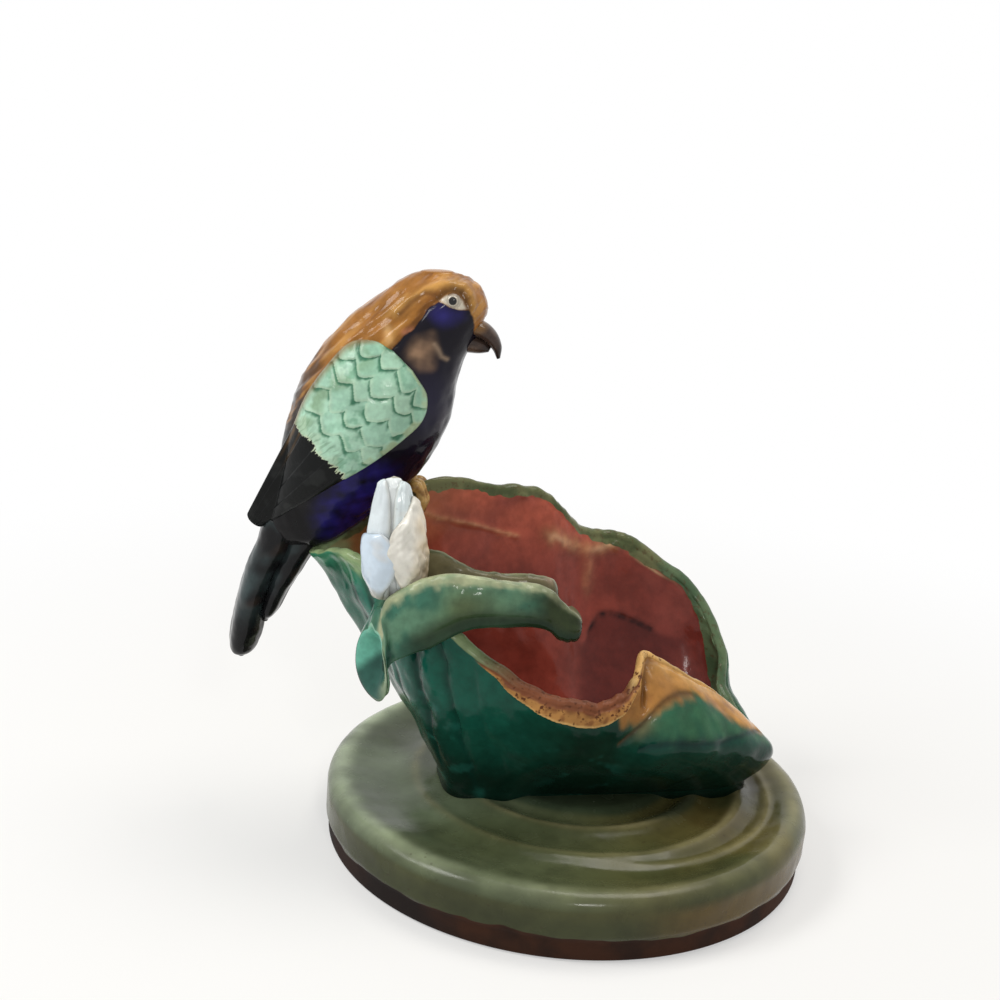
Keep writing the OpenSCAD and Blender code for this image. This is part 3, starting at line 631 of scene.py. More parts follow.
def leaf_inside(u):
    """Inner wall, from the edge down to the floor: the wall moved in by its thickness, with a forked fold
    below the notch in the far edge, a thin ledge below the high edge and soft lumps."""
    U, Q = np.meshgrid(u, np.concatenate([np.linspace(1, 0.8, 30), np.linspace(0.8, 0, 50)[1:]]))
    low = np.clip((SEAT_Z + LEAF_FLOOR - PLATEAU_Z) / (leaf_edge(u)[:, 2] - PLATEAU_Z), 0.05, 0.9)
    T = lerp(low, 1.0, Q)
    K, high = U * LEAF_N, (1 - T) * leaf_length(u)
    P = leaf_wall(U, T, np.full_like(U, LEAF_WALL))
    P[..., 2] += edge_lift(u, T)
    far = leaf_paths(
        EDGE_STEP * K, high,
        branch=[(7.9, 14.5), (7.7, 13), (7.05, 10.8), (6.35, 7.4), (5.85, 6.3), (5.35, 5.9), (4.85, 3.2)],
        stem=[(5.85, 6.3), (5.8, 11.3), (5.78, 19)],
        ledge=[(10.7, 4), (10.3, 8.5), (10.08, 11.8), (9.7, 13.8), (9.2, 14.6), (8.6, 16.5)],
        pool=[(5.6, 36.5), (5.28, 31.7), (4.85, 30.2), (4.4, 29.4), (3.98, 28.3), (3.6, 26.3)])
    swell = 0.9 * hump(far["branch"], 0, 3.6) + 0.6 * hump(far["stem"], 0, 4) + 0.6 * hump(far["ledge"], 0, 1.3)
    swell += 0.5 * mottle(P, 28, 35) * ease(high, 2, 12) + 0.4 * mottle(P, 8, 36) * ease(8 - high, 0, 5)
    swell -= 0.4 * hump(far["pool"], 0, 1.0)
    P[..., :2] -= leaf_outward(u) * (swell * ease(Q, 0.02, 0.15) * ease(1 - Q, 0.0, 0.03))[..., None]

    x, z = P[..., 0], P[..., 2]
    surface = np.interp(K, [3.0, 3.28, 3.6, 3.98, 4.85, 5.28, 5.55, 5.9],
                        [19, 22.7, 26.3, 28.3, 30.2, 31.7, 35.7, 40])
    fold = np.maximum(hump(far["branch"], 0, 2.6), 0.55 * hump(far["stem"], 0, 3.6))
    perch = patch(K, high, [(10.9, 2), (11.3, 16), (12.2, 20), (13.6, 16), (14.2, 0), (11.4, -2)], 2.2)
    width = np.interp(
        K, [0, 0.5, 1, 1.5, 2.18, 2.42, 2.75, 3.05, 3.4, 4.03, 5.38, 6, 7, 8, 9.3, 9.7, 10.05, 10.4, 11.6],
        [3, 8, 16, 18, 16.4, 11.6, 6.2, 3.9, 3.4, 5.6, 3.6, 1.6, 1.4, 2.2, 2.6, 3.4, 2.8, 1.4, 1.2])
    uneven = 0.8 * mottle(P, 6, 51)
    sage = ease(width - high + uneven, -1.2, 1.2) * fall(K, 11.2, 12.0)
    lip = ease(2.5 - high + uneven, -1.2, 1.2) * span(K, 16.4, 17.4, 21.6, 22.4)
    wave = np.interp(K, [16.5, 17.5, 20.5, 22], [0, 4.5, 4.5, 0]) + 0.9 * mottle(P, 9, 52)
    tint = glazed(P.shape, (144, 66, 54), [
        ((190, 96, 74), 0.8 * ease(z, 76, 100)),
        ((118, 52, 46), 0.7 * ease(x, 12, 36)),
        ((144, 72, 62), 0.6 * ease(mottle(P, 30, 44), 0, 0.8)),
        ((84, 30, 28), 0.7 * ease(high - surface, -1, 2) * span(K, 2.6, 3.2, 5.6, 6.6)),
        ((50, 15, 15), hump(far["pool"], 0, 1.3) * (0.75 + 0.4 * mottle(P, 6, 47))),
        ((200, 142, 100), 0.85 * fold * (0.75 + 0.35 * mottle(P, 5, 48))),
        # Painted highlights at both ends of the fork and along the ledge.
        ((222, 178, 140), 0.6 * hump(far["branch"], 0, 1.2) * (hump(K, 7.5, 0.5) + hump(K, 5.3, 0.4))),
        ((204, 146, 106), 0.8 * hump(far["ledge"], 0, 0.7) * (0.75 + 0.4 * mottle(P, 4, 49))),
        ((192, 148, 92), 0.9 * perch),
        ((122, 158, 118), 0.85 * perch * ease(-74 - x + 2 * mottle(P, 8, 50), -2, 4)),
        # Painted highlight along the lower border of the rim band.
        ((214, 184, 140), 0.6 * hump(high, width + 0.3, 0.6) * (hump(K, 3.8, 0.35) + 0.6 * hump(K, 5.1, 0.3))),
        ((74, 30, 26), 0.7 * hump(high, wave, 0.7) * span(K, 16.8, 17.6, 20.6, 21.6))])
    return P, tint, sage, lip


def make_leaf(cols=500):
    """The leaf as one closed surface: foot, outer wall, rim, a half circle across the wall's thickness that
    follows the flared lip, inner wall, and a floor that sinks by a quarter sine wave to its middle."""
    u = np.linspace(0, 1, cols, endpoint=False)
    k = u * LEAF_N
    outer, tint_o, pitted_o = leaf_outside(u)
    inner, tint_i, sage_i, lip_i = leaf_inside(u)
    foot = outer[:1] * [1, 1, 0] + [0, 0, SEAT_Z]

    arc = np.linspace(0, np.pi, 13)[1:-1]
    U, A = np.meshgrid(u, arc)
    K = U * LEAF_N
    rim = leaf_wall(U, np.ones_like(U), LEAF_WALL / 2 * (1 - np.cos(A)))
    flared = (outer[-1] - leaf_wall(u, np.ones(cols), np.zeros(cols)))[:, :2]
    rim[..., :2] += flared * ((1 + np.cos(A)) / 2)[..., None]
    rim[..., 2] += RIM_RISE * np.sin(A) - LEAF_WALL / 4 + edge_wave(u)
    tint_r = glazed(rim.shape, (84, 108, 80), [
        ((86, 112, 82), fall(K, 3.0, 4.5)),
        ((140, 160, 116), span(K, 11.0, 12.0, 16.4, 17.6)),
        ((30, 92, 76), span(K, 14.1, 14.6, 15.6, 16.4)),
        ((116, 68, 44), span(K, 16.6, 17.8, 20.6, 21.2)),
        ((206, 164, 102), span(K, 20.6, 21.2, 24.6, 25.6))])

    centre = inner[-1].mean(0)
    q = np.linspace(0, 0.97, 15)[1:, None, None]
    floor = lerp(inner[-1], centre, q) - np.array([0, 0, 1.2]) * np.sin(q * math.pi / 2)

    P = np.concatenate([foot, outer, rim, inner, floor])
    tint = np.concatenate([tint_o[:1], tint_o, tint_r, tint_i, np.broadcast_to(tint_i[-1], floor.shape)])
    blank = np.zeros(floor.shape[:2])
    rows = lambda o, r, i: np.concatenate([o[:1], o, r, i, blank])
    sage = rows(0 * pitted_o, 0.9 * fall(K, 11.2, 12.0), sage_i)
    lip_r = span(K, 16.6, 17.8, 22, 23)
    pitted = rows(pitted_o, lip_r, 0.8 * lip_i)
    brick = rows(0 * pitted_o, 0 * K, lip_i)
    right = fall(k, 3.2, 4.2) + ease(k, 24.8, 25.4)
    mint = rows(0 * pitted_o, 0.9 * np.broadcast_to(right, K.shape), sage_i * right)
    g = Glaze("leaf_glaze", pool=0.22, pool_size=12, gloss=(0.09, 0.20), ripple=0.16, shine=0.14)
    g.over("brick", pot(118, 64, 46), pot(96, 48, 34), size=5, amount=0.4, soft=0.14)
    g.over("sage", pot(112, 115, 78), pot(84, 94, 60), size=4, amount=0.55, soft=0.12)
    g.over("mint", pot(98, 118, 86), pot(74, 98, 70), size=5, amount=0.45, soft=0.15)
    flecks = g.spread(g.noise(620, 4), 0.57, 0.66, 0.0, 1.0)
    dots = g.spread(g.cells(560), 0.12, 0.32, 1.0, 0.0)
    pits = g.math("MAXIMUM", flecks, g.times(dots, g.spread(g.noise(300, 2), 0.50, 0.58, 0.0, 1.0)))
    some = g.math("MAXIMUM", g.mask("pitted"), g.times(g.mask("sage"), 0.4))
    g.colour = g.mix(g.colour, (*pot(84, 46, 26), 1), g.times(pits, some))
    g.dull(g.mask("pitted"), 0.42)
    masks = {"sage": sage, "mint": mint, "pitted": pitted, "brick": brick}
    piece("leaf_dish", "leaf_bowl", "leaf_glaze", g.done(), shell(P, tint, masks))


# Rolled leaf

ROLL_STATIONS = [
    (15, (-0.07, -0.225, -0.275), (-0.03, -0.20, -0.84), (-0.22, -0.075, -0.74), (-0.23, 0, -0.35)),
    (15, (-0.04, -0.225, -0.05), (0.045, -0.225, -0.49), (0.045, 0.10, -0.30), (-0.03, 0.26, 0.125)),
    (16, (-0.01, -0.14, 0.33), (-0.01, -0.15, -0.18), (-0.01, 0.175, -0.075), (-0.03, 0.325, 0.39)),
    (17, (-0.085, -0.04, 0.63), (-0.06, -0.04, 0.255), (-0.07, 0.235, 0.275), (-0.09, 0.285, 0.59)),
    (18, (-0.06, 0.20, 0.74), (-0.05, 0.20, 0.45), (-0.035, 0.40, 0.48), (-0.025, 0.425, 0.78)),
    (18, (0.10, 0.24, 0.64), (0.115, 0.25, 0.35), (0.115, 0.40, 0.37), (0.10, 0.41, 0.66)),
    (18, (0.225, 0.275, 0.53), (0.225, 0.29, 0.40), (0.225, 0.375, 0.41), (0.225, 0.375, 0.545))]
ROLL_SIZE, ROLL_WALL, ROLL_BULGE = 40.0, 3.6, 3.0


def make_roll(rows=170, half=56):
    """A leaf rolled to a trough: four lines along it, the near lip, near bottom, far bottom and far lip,
    carry a section that runs down the near side, under, up the far side and back along the trough. The
    near side flares at the open end, which is dished: its ring shrinks to its middle while it is pushed in.
    The other end is domed by a quarter circle."""
    places = leaf_edge(np.array([s[0] for s in ROLL_STATIONS]) / LEAF_N)[:, :3]
    s = np.linspace(0, 0.94, rows)
    lines = (places + ROLL_SIZE * np.array([q[i] for q in ROLL_STATIONS]) for i in (1, 2, 3, 4))
    near, low, deep, far = (curve_at(line, s) for line in lines)
    gap = np.linalg.norm(far - near, axis=1, keepdims=True)
    across = (far - near) / gap
    thick = np.minimum(ROLL_WALL, gap / 3)
    side = np.sin(np.radians(90 + 80 * s))[:, None]
    near_side = (near + low) / 2 - across * ROLL_BULGE * side
    far_side = (deep + far) / 2 + across * (ROLL_BULGE / 2 + 2.2 * fall(s, 0, 0.15))[:, None]
    near_in, far_in = near + across * thick, far - across * thick
    sunk = lerp(-0.15, 0.4, ease(s, 0.02, 0.22)) * (1 - 1.3 * ease(s, 0.84, 0.95))
    bed = lerp((near_in + far_in) / 2, (low + deep) / 2, sunk[:, None])
    ring = np.stack([near, near_side, low, deep, far_side, far, far_in, bed, near_in])
    v = np.concatenate([np.linspace(-0.35, 5.35, half), np.linspace(5.65, 8.35, half)]) / len(ring)
    P = np.swapaxes(loop_at(ring, v), 0, 1)
    S, V = np.meshgrid(s, v * len(ring), indexing="ij")
    N = outward_normals(P)
    outside = span(V, 0.1, 0.6, 4.6, 5.1)
    vein = np.sin(2 * np.pi * (1.6 * V + 0.4 * np.sin(5 * S)))
    lips = hump(V, 0.0, 0.45) + hump(V, len(ring), 0.45) + hump(V, 5.5, 0.5)
    rim = hump(S, 0.02, 0.02)
    flare = hump(S, 0.015, 0.03) * span(V, 0.4, 1.4, 2.2, 3.0)
    under = path_distance(S * 60, V * 9, [(14, 14), (30, 13), (44, 12.5)])
    h = (0.15 * vein + 0.8 * rim + 1.6 * flare - 1.4 * hump(S, 0.14, 0.05) - 0.7 * hump(under, 0, 1.3)) * outside
    h += 0.35 * mottle(P, 16, 51) + 0.45 * lips * mottle(P, 9, 52)
    P = P + N * h[..., None]
    round_off = np.mean([np.roll(P, i, 1) for i in range(-9, 10)], 0)
    P = lerp(P, round_off, fall(S, 0.0, 0.10)[..., None])
    P[..., 2] += 0.9 * np.sin(9 * S + 0.6) * hump(V % len(ring), 0.0, 0.6) * span(S, 0.15, 0.4, 0.5, 0.8)
    P[..., 2] -= (3.4 * ease(S, 0.70, 0.80) + 3.0 * hump(S, 0.13, 0.06)) * span(V, 3.8, 4.9, 6.4, 7.6)
    P = lerp(P.mean(1, keepdims=True), P, (1 + 0.13 * fall(S, 0.0, 0.12) + 0.22 * ease(S, 0.84, 0.94))[..., None])

    q = np.linspace(0.93, 0.05, 13)[:, None, None]
    mouth = lerp(P[0], P[0].mean(0), q) + np.array([0.79, 0.60, 0.08]) * 4.5 * ease(q, 0.10, 0.75)
    brim = fall(q[..., 0], 0.20, 0.38) * ease(V[:1], 0.0, 0.6) * fall(V[:1], 1.5, 2.4)
    q = np.linspace(0.08, 0.985, 14)[:, None, None]
    tail = (P[-1] - P[-3]).mean(0)
    cap = lerp(P[-1], P[-1].mean(0), 1 - np.sqrt(1 - q**2)) + unit(tail) * 3.8 * q

    trough = span(V, 5.5, 5.9, 8.3, 8.7)
    lip_edge = ease(0.3 + 0.1 * mottle(P, 5, 55) - V, 0, 0.3) + hump(V, 8.4, 0.3)
    tint = glazed(P.shape, (88, 126, 102), [
        ((38, 98, 84), 0.7 * ease(mottle(P, 14, 53), -0.1, 0.8)),
        ((96, 104, 64), 0.75 * hump(S, 0.46, 0.10) * hump(V, 1.0, 0.7)),
        ((44, 52, 24), 0.95 * ease(S, 0.56, 0.74)),
        ((80, 88, 54), 0.6 * hump(V, 1.5, 0.3) * ease(S, 0.2, 0.35)),
        # Painted shade: the near face darkens downwards, most at the right end, and the underside is darker still.
        ((28, 36, 20), 0.85 * ease(V, 0.9, 1.9) * ease(S, 0.5, 0.7)),
        ((24, 46, 30), 0.85 * ease(V, 0.9, 1.6) * ease(S, 0.15, 0.3)),
        ((12, 46, 40), 0.9 * span(V, 1.9, 2.6, 4.4, 5)),
        ((112, 104, 76), 0.85 * trough * ease(S, 0.12, 0.25)),
        ((172, 178, 142), lip_edge * (0.75 + 0.35 * mottle(P, 7, 54)) * (1 - 0.5 * ease(S, 0.6, 0.8))),
        ((170, 146, 128), 0.8 * hump(S, 0.69, 0.025) * hump(V, 5.5, 0.5)),
        ((140, 136, 98), 0.7 * hump(V, 5.3, 0.3) * ease(S, 0.15, 0.3)),
        ((146, 166, 134), 0.85 * np.maximum(rim * span(V, 0.1, 0.6, 2.4, 3.2), flare)),
        # Painted shade in the pinch behind the open end.
        ((16, 56, 48), 0.75 * hump(S, 0.14, 0.035) * outside * ease(V, 0.7, 1.4))])
    to_right, _, up = np.moveaxis(mouth - P[0].mean(0), -1, 0)
    inside = glazed(mouth.shape, (106, 178, 158), [
        # Painted shade low on the right inside the open end, and painted light across its top.
        ((20, 52, 48), 0.85 * ease(0.9 * to_right - up, 2.5, 7)),
        ((150, 176, 146), 0.7 * ease(up, 3, 9)),
        ((142, 160, 126), 0.9 * brim * (0.85 + 0.2 * mottle(mouth, 5, 56)))])
    full = np.concatenate([mouth, P, cap])
    tint = np.concatenate([inside, tint, np.broadcast_to(tint[-1], cap.shape)])
    g = Glaze("roll_glaze", pool=0.22, pool_size=11, gloss=(0.10, 0.22), ripple=0.14, speck=0.2, shine=0.16)
    piece("rolled_leaf_trough", "rolled_leaf", "roll_glaze", g.done(), shell(full, tint))


# Flower bud

BUD_PROFILE = [
    (0, 0.30), (0.08, 0.62), (0.20, 0.88), (0.40, 1.00), (0.60, 0.95), (0.80, 0.72), (0.93, 0.50), (1, 0.36)]
BUD_H, BUD_R, BUD_SINK, BUD_TILT = 38.0, 6.25, 4, math.radians(4)
BUD_STAND = leaf_edge(np.array(15 / LEAF_N))[:3]
PETAL_HALF = math.radians(58)
# Each petal: its direction in degrees, lower and upper end, layer, upper edge's slant, lumps and white; the
# outer wraps' whites, bluish on the left and warm on the right, are painted cool and warm light
PETALS = {
    "bud_petal_back": (90, 0.10, 0.97, 0, 0, 0.3, (222, 218, 208)),
    "bud_petal_left": (210, 0.10, 0.99, 0, 0, 0.3, (222, 232, 238)),
    "bud_petal_right": (330, 0.10, 0.96, 0, 0, 0.3, (224, 236, 240)),
    "bud_wrap_left": (195, 0.12, 0.57, 1, 0.012, 0.12, (206, 222, 238)),
    "bud_wrap_right": (345, 0.12, 0.71, 1, -0.07, 0.7, (232, 230, 222))}


def bud_place(P):
    """Tilts the bud and stands it on the leaf's edge."""
    c, s = math.cos(-BUD_TILT), math.sin(-BUD_TILT)
    x, y, z = np.moveaxis(P, -1, 0)
    return np.stack([c * x + s * z, y, c * z - s * x], -1) + BUD_STAND - [0, 0, BUD_SINK]


def bud_at(angle, h, out):
    """Point on the bud at an angle and height share, out from the core's skin."""
    p = curve_at(np.array(BUD_PROFILE), h)
    r = p[..., 1] * BUD_R + out
    return np.stack([r * np.cos(angle), r * np.sin(angle), p[..., 0] * BUD_H], -1)


def bud_tint(P, white, *coats):
    """Milky glaze about a given white, uneven, stained grey-olive at the foot, under further coats."""
    foot = BUD_STAND[2] + 3 + 1.2 * mottle(P, 8, 64)
    return glazed(P.shape, white, [
        ((216, 206, 192), 0.35 * ease(mottle(P, 12, 61), 0.1, 0.9)),
        ((138, 134, 104), 0.8 * ease(foot - P[..., 2], 0, 5)), *coats])


def make_bud():
    """The bud: a core of round slices with a low lid, and two layers of petals, each a curved blade whose
    outline narrows by a sine wave and rounds off at the top, thick in its middle and thin at its edges."""
    mat = Glaze("bud_glaze", pool=0.08, pool_size=9, gloss=(0.08, 0.18), ripple=0.14, speck=0.2, shine=0.4).done()
    A, H = round_grid(70, 72)
    core = bud_at(A, H, 0.35 * mottle(np.stack([3 * np.cos(A), 3 * np.sin(A), 8 * H], -1), 3, 62))
    core[..., 2] += (0.9 * np.cos(2 * A) - 1.6) * ease(H, 0.86, 1.0)
    lid = np.linspace(0.15, 0.95, 6)[:, None, None]
    core = np.concatenate([core, lerp(core[-1], core[-1].mean(0), lid) + np.array([0, 0, 1.3]) * np.sqrt(lid)])
    core = bud_place(core)
    piece("bud_heart", "bud_core", "bud_glaze", mat, shell(core, bud_tint(core, (228, 234, 236))))
    J, Q = np.meshgrid(np.linspace(-1, 1, 42), np.linspace(0, 1, 64))
    for seed, (name, (turn, low, high, layer, slant, lumps, white)) in enumerate(PETALS.items()):
        w = PETAL_HALF * (0.55 + 0.45 * np.sin(np.radians(20 + 140 * Q)))
        top = 0.72 + 0.14 * layer
        w *= np.sqrt(np.clip(1 - np.clip((Q - top) / (1.03 - top), 0, 1) ** 2.4, 0.03, 1))
        near = -math.copysign(1, math.cos(math.radians(turn)))
        angle = math.radians(turn) + J * w + near * layer * 0.5 * ease(Q, 0.1, 0.7)
        height = lerp(low, high, Q) + slant * near * J * ease(Q, 0.4, 1.0)
        height -= 0.035 * (1 - layer) * ease(Q, 0.6, 1.0) * J**2
        under = 0.2 + layer * 1.7
        body = np.sqrt(np.clip(1 - np.abs(J) ** 3.5, 0, 1))
        body *= np.sqrt(np.clip(1 - np.clip((Q - 0.9) / 0.102, 0, 1) ** 2, 0, 1))
        fold = (0.25 - 0.1 * layer) * np.cos(2 * np.pi * (J * 1.3 + 0.15 * seed)) * ease(Q, 0.1, 0.5)
        fold += lumps * mottle(np.stack([4 * J, 9 * Q], -1), 3, 63 + seed)
        out = under + 0.15 + 0.6 * layer * ease(Q, 0.2, 0.5) + (1.5 - 0.4 * layer + fold) * body
        faces = bud_at(angle, height, out), bud_at(angle, height, np.full_like(out, under))[:, ::-1]
        P = bud_place(np.concatenate(faces, 1))
        # Painted shade on the petals' edges and inner faces, and painted warm light on the right side of the outer
        # wraps.
        edge = np.concatenate([ease(np.abs(J), 0.8, 1.0), np.ones_like(J)], 1)
        warm_light = ease(P[..., 0] - bud_place(np.zeros(3))[0], 3.5, 8.5) * layer
        tint = bud_tint(P, white, ((180, 172, 154), 0.4 * edge),
                        ((222, 196, 152), 0.8 * warm_light * (0.75 + 0.3 * mottle(P, 7, 65))))
        piece(name.replace("bud_", "bud_leaf_"), name, "bud_glaze", mat, shell(P, tint, ends="band"))


# Bird

BIRD_LINE = np.array([
    [0.59, 0.99, 0.79, 0.994, 0.10], [0.44, 0.945, 0.95, 0.955, 0.25], [0.30, 0.885, 1.01, 0.885, 0.325],
    [0.16, 0.812, 0.965, 0.80, 0.36], [0.02, 0.716, 0.90, 0.715, 0.40], [-0.09, 0.617, 0.862, 0.63, 0.465],
    [-0.16, 0.508, 0.838, 0.54, 0.50], [-0.20, 0.40, 0.797, 0.45, 0.50], [-0.22, 0.31, 0.727, 0.36, 0.465],
    [-0.245, 0.225, 0.59, 0.245, 0.40], [-0.265, 0.15, 0.39, 0.145, 0.31], [-0.285, 0.08, 0.18, 0.037, 0.22],
    [-0.275, 0.023, 0.02, -0.005, 0.13]])
WING_LINE = np.array([
    [0.60, 0.68, 0.48, 0.74], [0.69, 0.60, 0.36, 0.768], [0.675, 0.515, 0.20, 0.75], [0.55, 0.44, 0.06, 0.66],
    [0.36, 0.352, -0.05, 0.56], [0.14, 0.265, -0.13, 0.44], [-0.10, 0.16, -0.245, 0.30], [-0.30, 0.068, -0.40, 0.115]])
PERCH = np.array([-LEAF_LEFT, 3.0, SEAT_Z + 0.77 * LEAF_RISE])
BIRD_DEEP, BIRD_TALL, BIRD_WIDE = 49.0, 88.5, 38.6
EYE, EYE_R, EYE_SUNK, PUPIL_Z, PUPIL_R = (0.805, 0.913), 2.5, 1.0, 0.916, 1.2


def bird_at(x, y, z):
    """Point of the bird from shares of its depth and height, and y out from its middle plane."""
    return PERCH + np.stack(np.broadcast_arrays(x * BIRD_DEEP, y, z * BIRD_TALL), -1)


def body_side(x, z, share=1.0):
    """Distance of the bird's skin from its middle plane at a side point: the slice through that point is
    found by halving, and its oval gives the distance. Points further from the slice's middle than a share
    of its half depth are taken at that share."""
    low, high = np.zeros(np.shape(x)), np.ones(np.shape(x))
    for _ in range(22):
        m = (low + high) / 2
        s = curve_at(BIRD_LINE, m)
        above = lerp(s[..., 1], s[..., 3], (x - s[..., 0]) / (s[..., 2] - s[..., 0])) > z
        low, high = np.where(above, m, low), np.where(above, high, m)
    s = curve_at(BIRD_LINE, (low + high) / 2)
    c = np.clip(2 * (x - s[..., 0]) / (s[..., 2] - s[..., 0]) - 1, -share, share)
    return BIRD_WIDE * s[..., 4] * np.sqrt(1 - c * c)


def bird_mm(line):
    """Places given in shares of the bird's depth and height, in millimetres."""
    return [(x * BIRD_DEEP, z * BIRD_TALL) for x, z in line]


BROW = bird_mm([
    (0.47, 0.86), (0.541, 0.898), (0.635, 0.94), (0.697, 0.955), (0.759, 0.963), (0.81, 0.963), (0.85, 0.957),
    (0.884, 0.943), (0.906, 0.924), (0.917, 0.904), (0.918, 0.885)])
BROW_FOLD = bird_mm([(0.499, 0.861), (0.56, 0.90), (0.64, 0.933), (0.70, 0.93)])
SOCKET = bird_mm([(0.722, 0.922), (0.764, 0.94), (0.801, 0.947), (0.847, 0.94), (0.882, 0.916), (0.895, 0.892)])
EYE_WHITE = bird_mm([
    (0.733, 0.915), (0.76, 0.928), (0.803, 0.936), (0.836, 0.931), (0.864, 0.913), (0.886, 0.89), (0.861, 0.886),
    (0.829, 0.887), (0.797, 0.893), (0.77, 0.90), (0.751, 0.904)])
COBALT = bird_mm([
    (0.729, 0.912), (0.798, 0.889), (0.874, 0.884), (0.891, 0.858), (0.833, 0.836), (0.759, 0.825), (0.701, 0.845),
    (0.66, 0.87)])
CHEEK = bird_mm([
    (0.614, 0.785), (0.696, 0.803), (0.72, 0.755), (0.709, 0.691), (0.644, 0.691), (0.555, 0.731), (0.579, 0.763)])
CHEEK_CREASE = bird_mm([(0.714, 0.771), (0.739, 0.752), (0.76, 0.728), (0.793, 0.718)])
MASK_EDGE = bird_mm([
    (0.47, 0.752), (0.494, 0.765), (0.528, 0.792), (0.582, 0.815), (0.625, 0.853), (0.658, 0.885), (0.72, 0.912)])
DARK = MASK_EDGE + bird_mm([
    (0.778, 0.896), (0.845, 0.885), (0.90, 0.886), (0.93, 0.86), (0.945, 0.80), (1.3, 0.78), (1.3, -0.4), (-0.7, -0.4),
    (-0.7, 0.36), (-0.10, 0.43), (0.30, 0.60)])
BELLY = bird_mm([(0.10, 0.02), (0.02, 0.14), (0.16, 0.30), (0.36, 0.38), (0.52, 0.34), (0.46, 0.20), (0.30, 0.06)])


def amber_tint(X, Z, P):
    """Amber head and back in brushed strokes that run down the back, with brown and golden streaks at the
    back's edge, a pale brow over a fold darkened by painted shade, painted shade in the eye socket, a painted
    highlight, an orange-pink touch and an eye white."""
    mx, mz = X * BIRD_DEEP, Z * BIRD_TALL
    along, across = mx * 0.62 + mz * 0.78, mz * 0.62 - mx * 0.78
    stroke = mottle(np.stack([along / 15, across / 2.6, P[..., 1] / 5], -1), 1.9, 71)
    rear = ease(0.83 - Z + 0.25 * mottle(P, 20, 70), 0, 0.16) * ease(0.36 - X, 0, 0.3)
    return glazed(P.shape, (158, 106, 48), [
        ((122, 76, 32), 0.8 * ease(stroke, 0.05, 0.9)),
        ((194, 144, 78), 0.6 * ease(-stroke, 0.15, 0.9)),
        ((84, 58, 34), 0.85 * rear * ease(stroke + 0.3, -0.2, 0.5)),
        ((170, 130, 72), 0.75 * rear * ease(-stroke, 0.2, 0.7)),
        ((34, 28, 24), 0.9 * ease(0.62 - Z, 0, 0.10) * ease(stroke + 0.6, -0.2, 0.6)),
        ((144, 96, 42), 0.8 * ease(Z, 0.90, 0.97) * ease(0.72 - X, 0, 0.2)),
        ((200, 152, 84), 0.7 * drawn(mx, mz, BROW, 1.3)),
        # Painted shade in the fold below the brow.
        ((112, 70, 34), 0.75 * drawn(mx, mz, BROW_FOLD, 0.8)),
        # A painted highlight near the wing's top.
        ((222, 178, 122), 0.7 * drawn(mx, mz, bird_mm([(0.43, 0.81), (0.445, 0.773)]), 1.2)),
        ((196, 128, 96), 0.8 * drawn(mx, mz, bird_mm([(0.536, 0.803), (0.573, 0.812)]), 1.0)),
        # Painted shade in the eye socket.
        ((96, 64, 30), 0.9 * drawn(mx, mz, SOCKET, 1.1)),
        ((214, 206, 190), patch(mx, mz, EYE_WHITE, 0.5))])


def night_tint(X, Z, P):
    """Near-black violet breast, cobalt under the eye and on the belly, a brown cheek with a painted highlight
    along its crease, a painted grey highlight along the breast's front and black under the wing."""
    mx, mz = X * BIRD_DEEP, Z * BIRD_TALL
    front = path_distance(mx, mz, bird_mm([(0.87, 0.72), (0.84, 0.62), (0.76, 0.43)]))
    cheek = patch(mx, mz, CHEEK, 2.4)
    return glazed(P.shape, (19, 16, 27), [
        ((52, 50, 78), 0.45 * hump(np.hypot(mx - 34, (mz - 50) * 0.7), 0, 7)),
        # Painted grey highlight along the breast's front.
        ((84, 80, 90), 0.35 * hump(front, 0, 1.6) * (0.7 + 0.4 * mottle(P, 9, 74))),
        ((32, 29, 80), 0.95 * patch(mx, mz, COBALT, 1.7) * (0.85 + 0.2 * mottle(P, 5, 75))),
        ((52, 48, 128), 0.7 * hump(np.hypot(mx - 37.0, (mz - 76.5) * 1.4), 0, 2.6)),
        ((36, 30, 104), 0.95 * patch(mx, mz, BELLY, 4.0) * (0.7 + 0.4 * mottle(P, 7, 76))),
        ((160, 128, 102), 0.9 * cheek * (0.75 + 0.35 * mottle(P, 6, 77))),
        # Painted highlight along the cheek's crease.
        ((176, 152, 128), 0.6 * drawn(mx, mz, CHEEK_CREASE, 0.6)),
        ((16, 15, 17), ease(0.12 - X, 0, 0.2) * ease(0.5 - Z, 0, 0.1))])


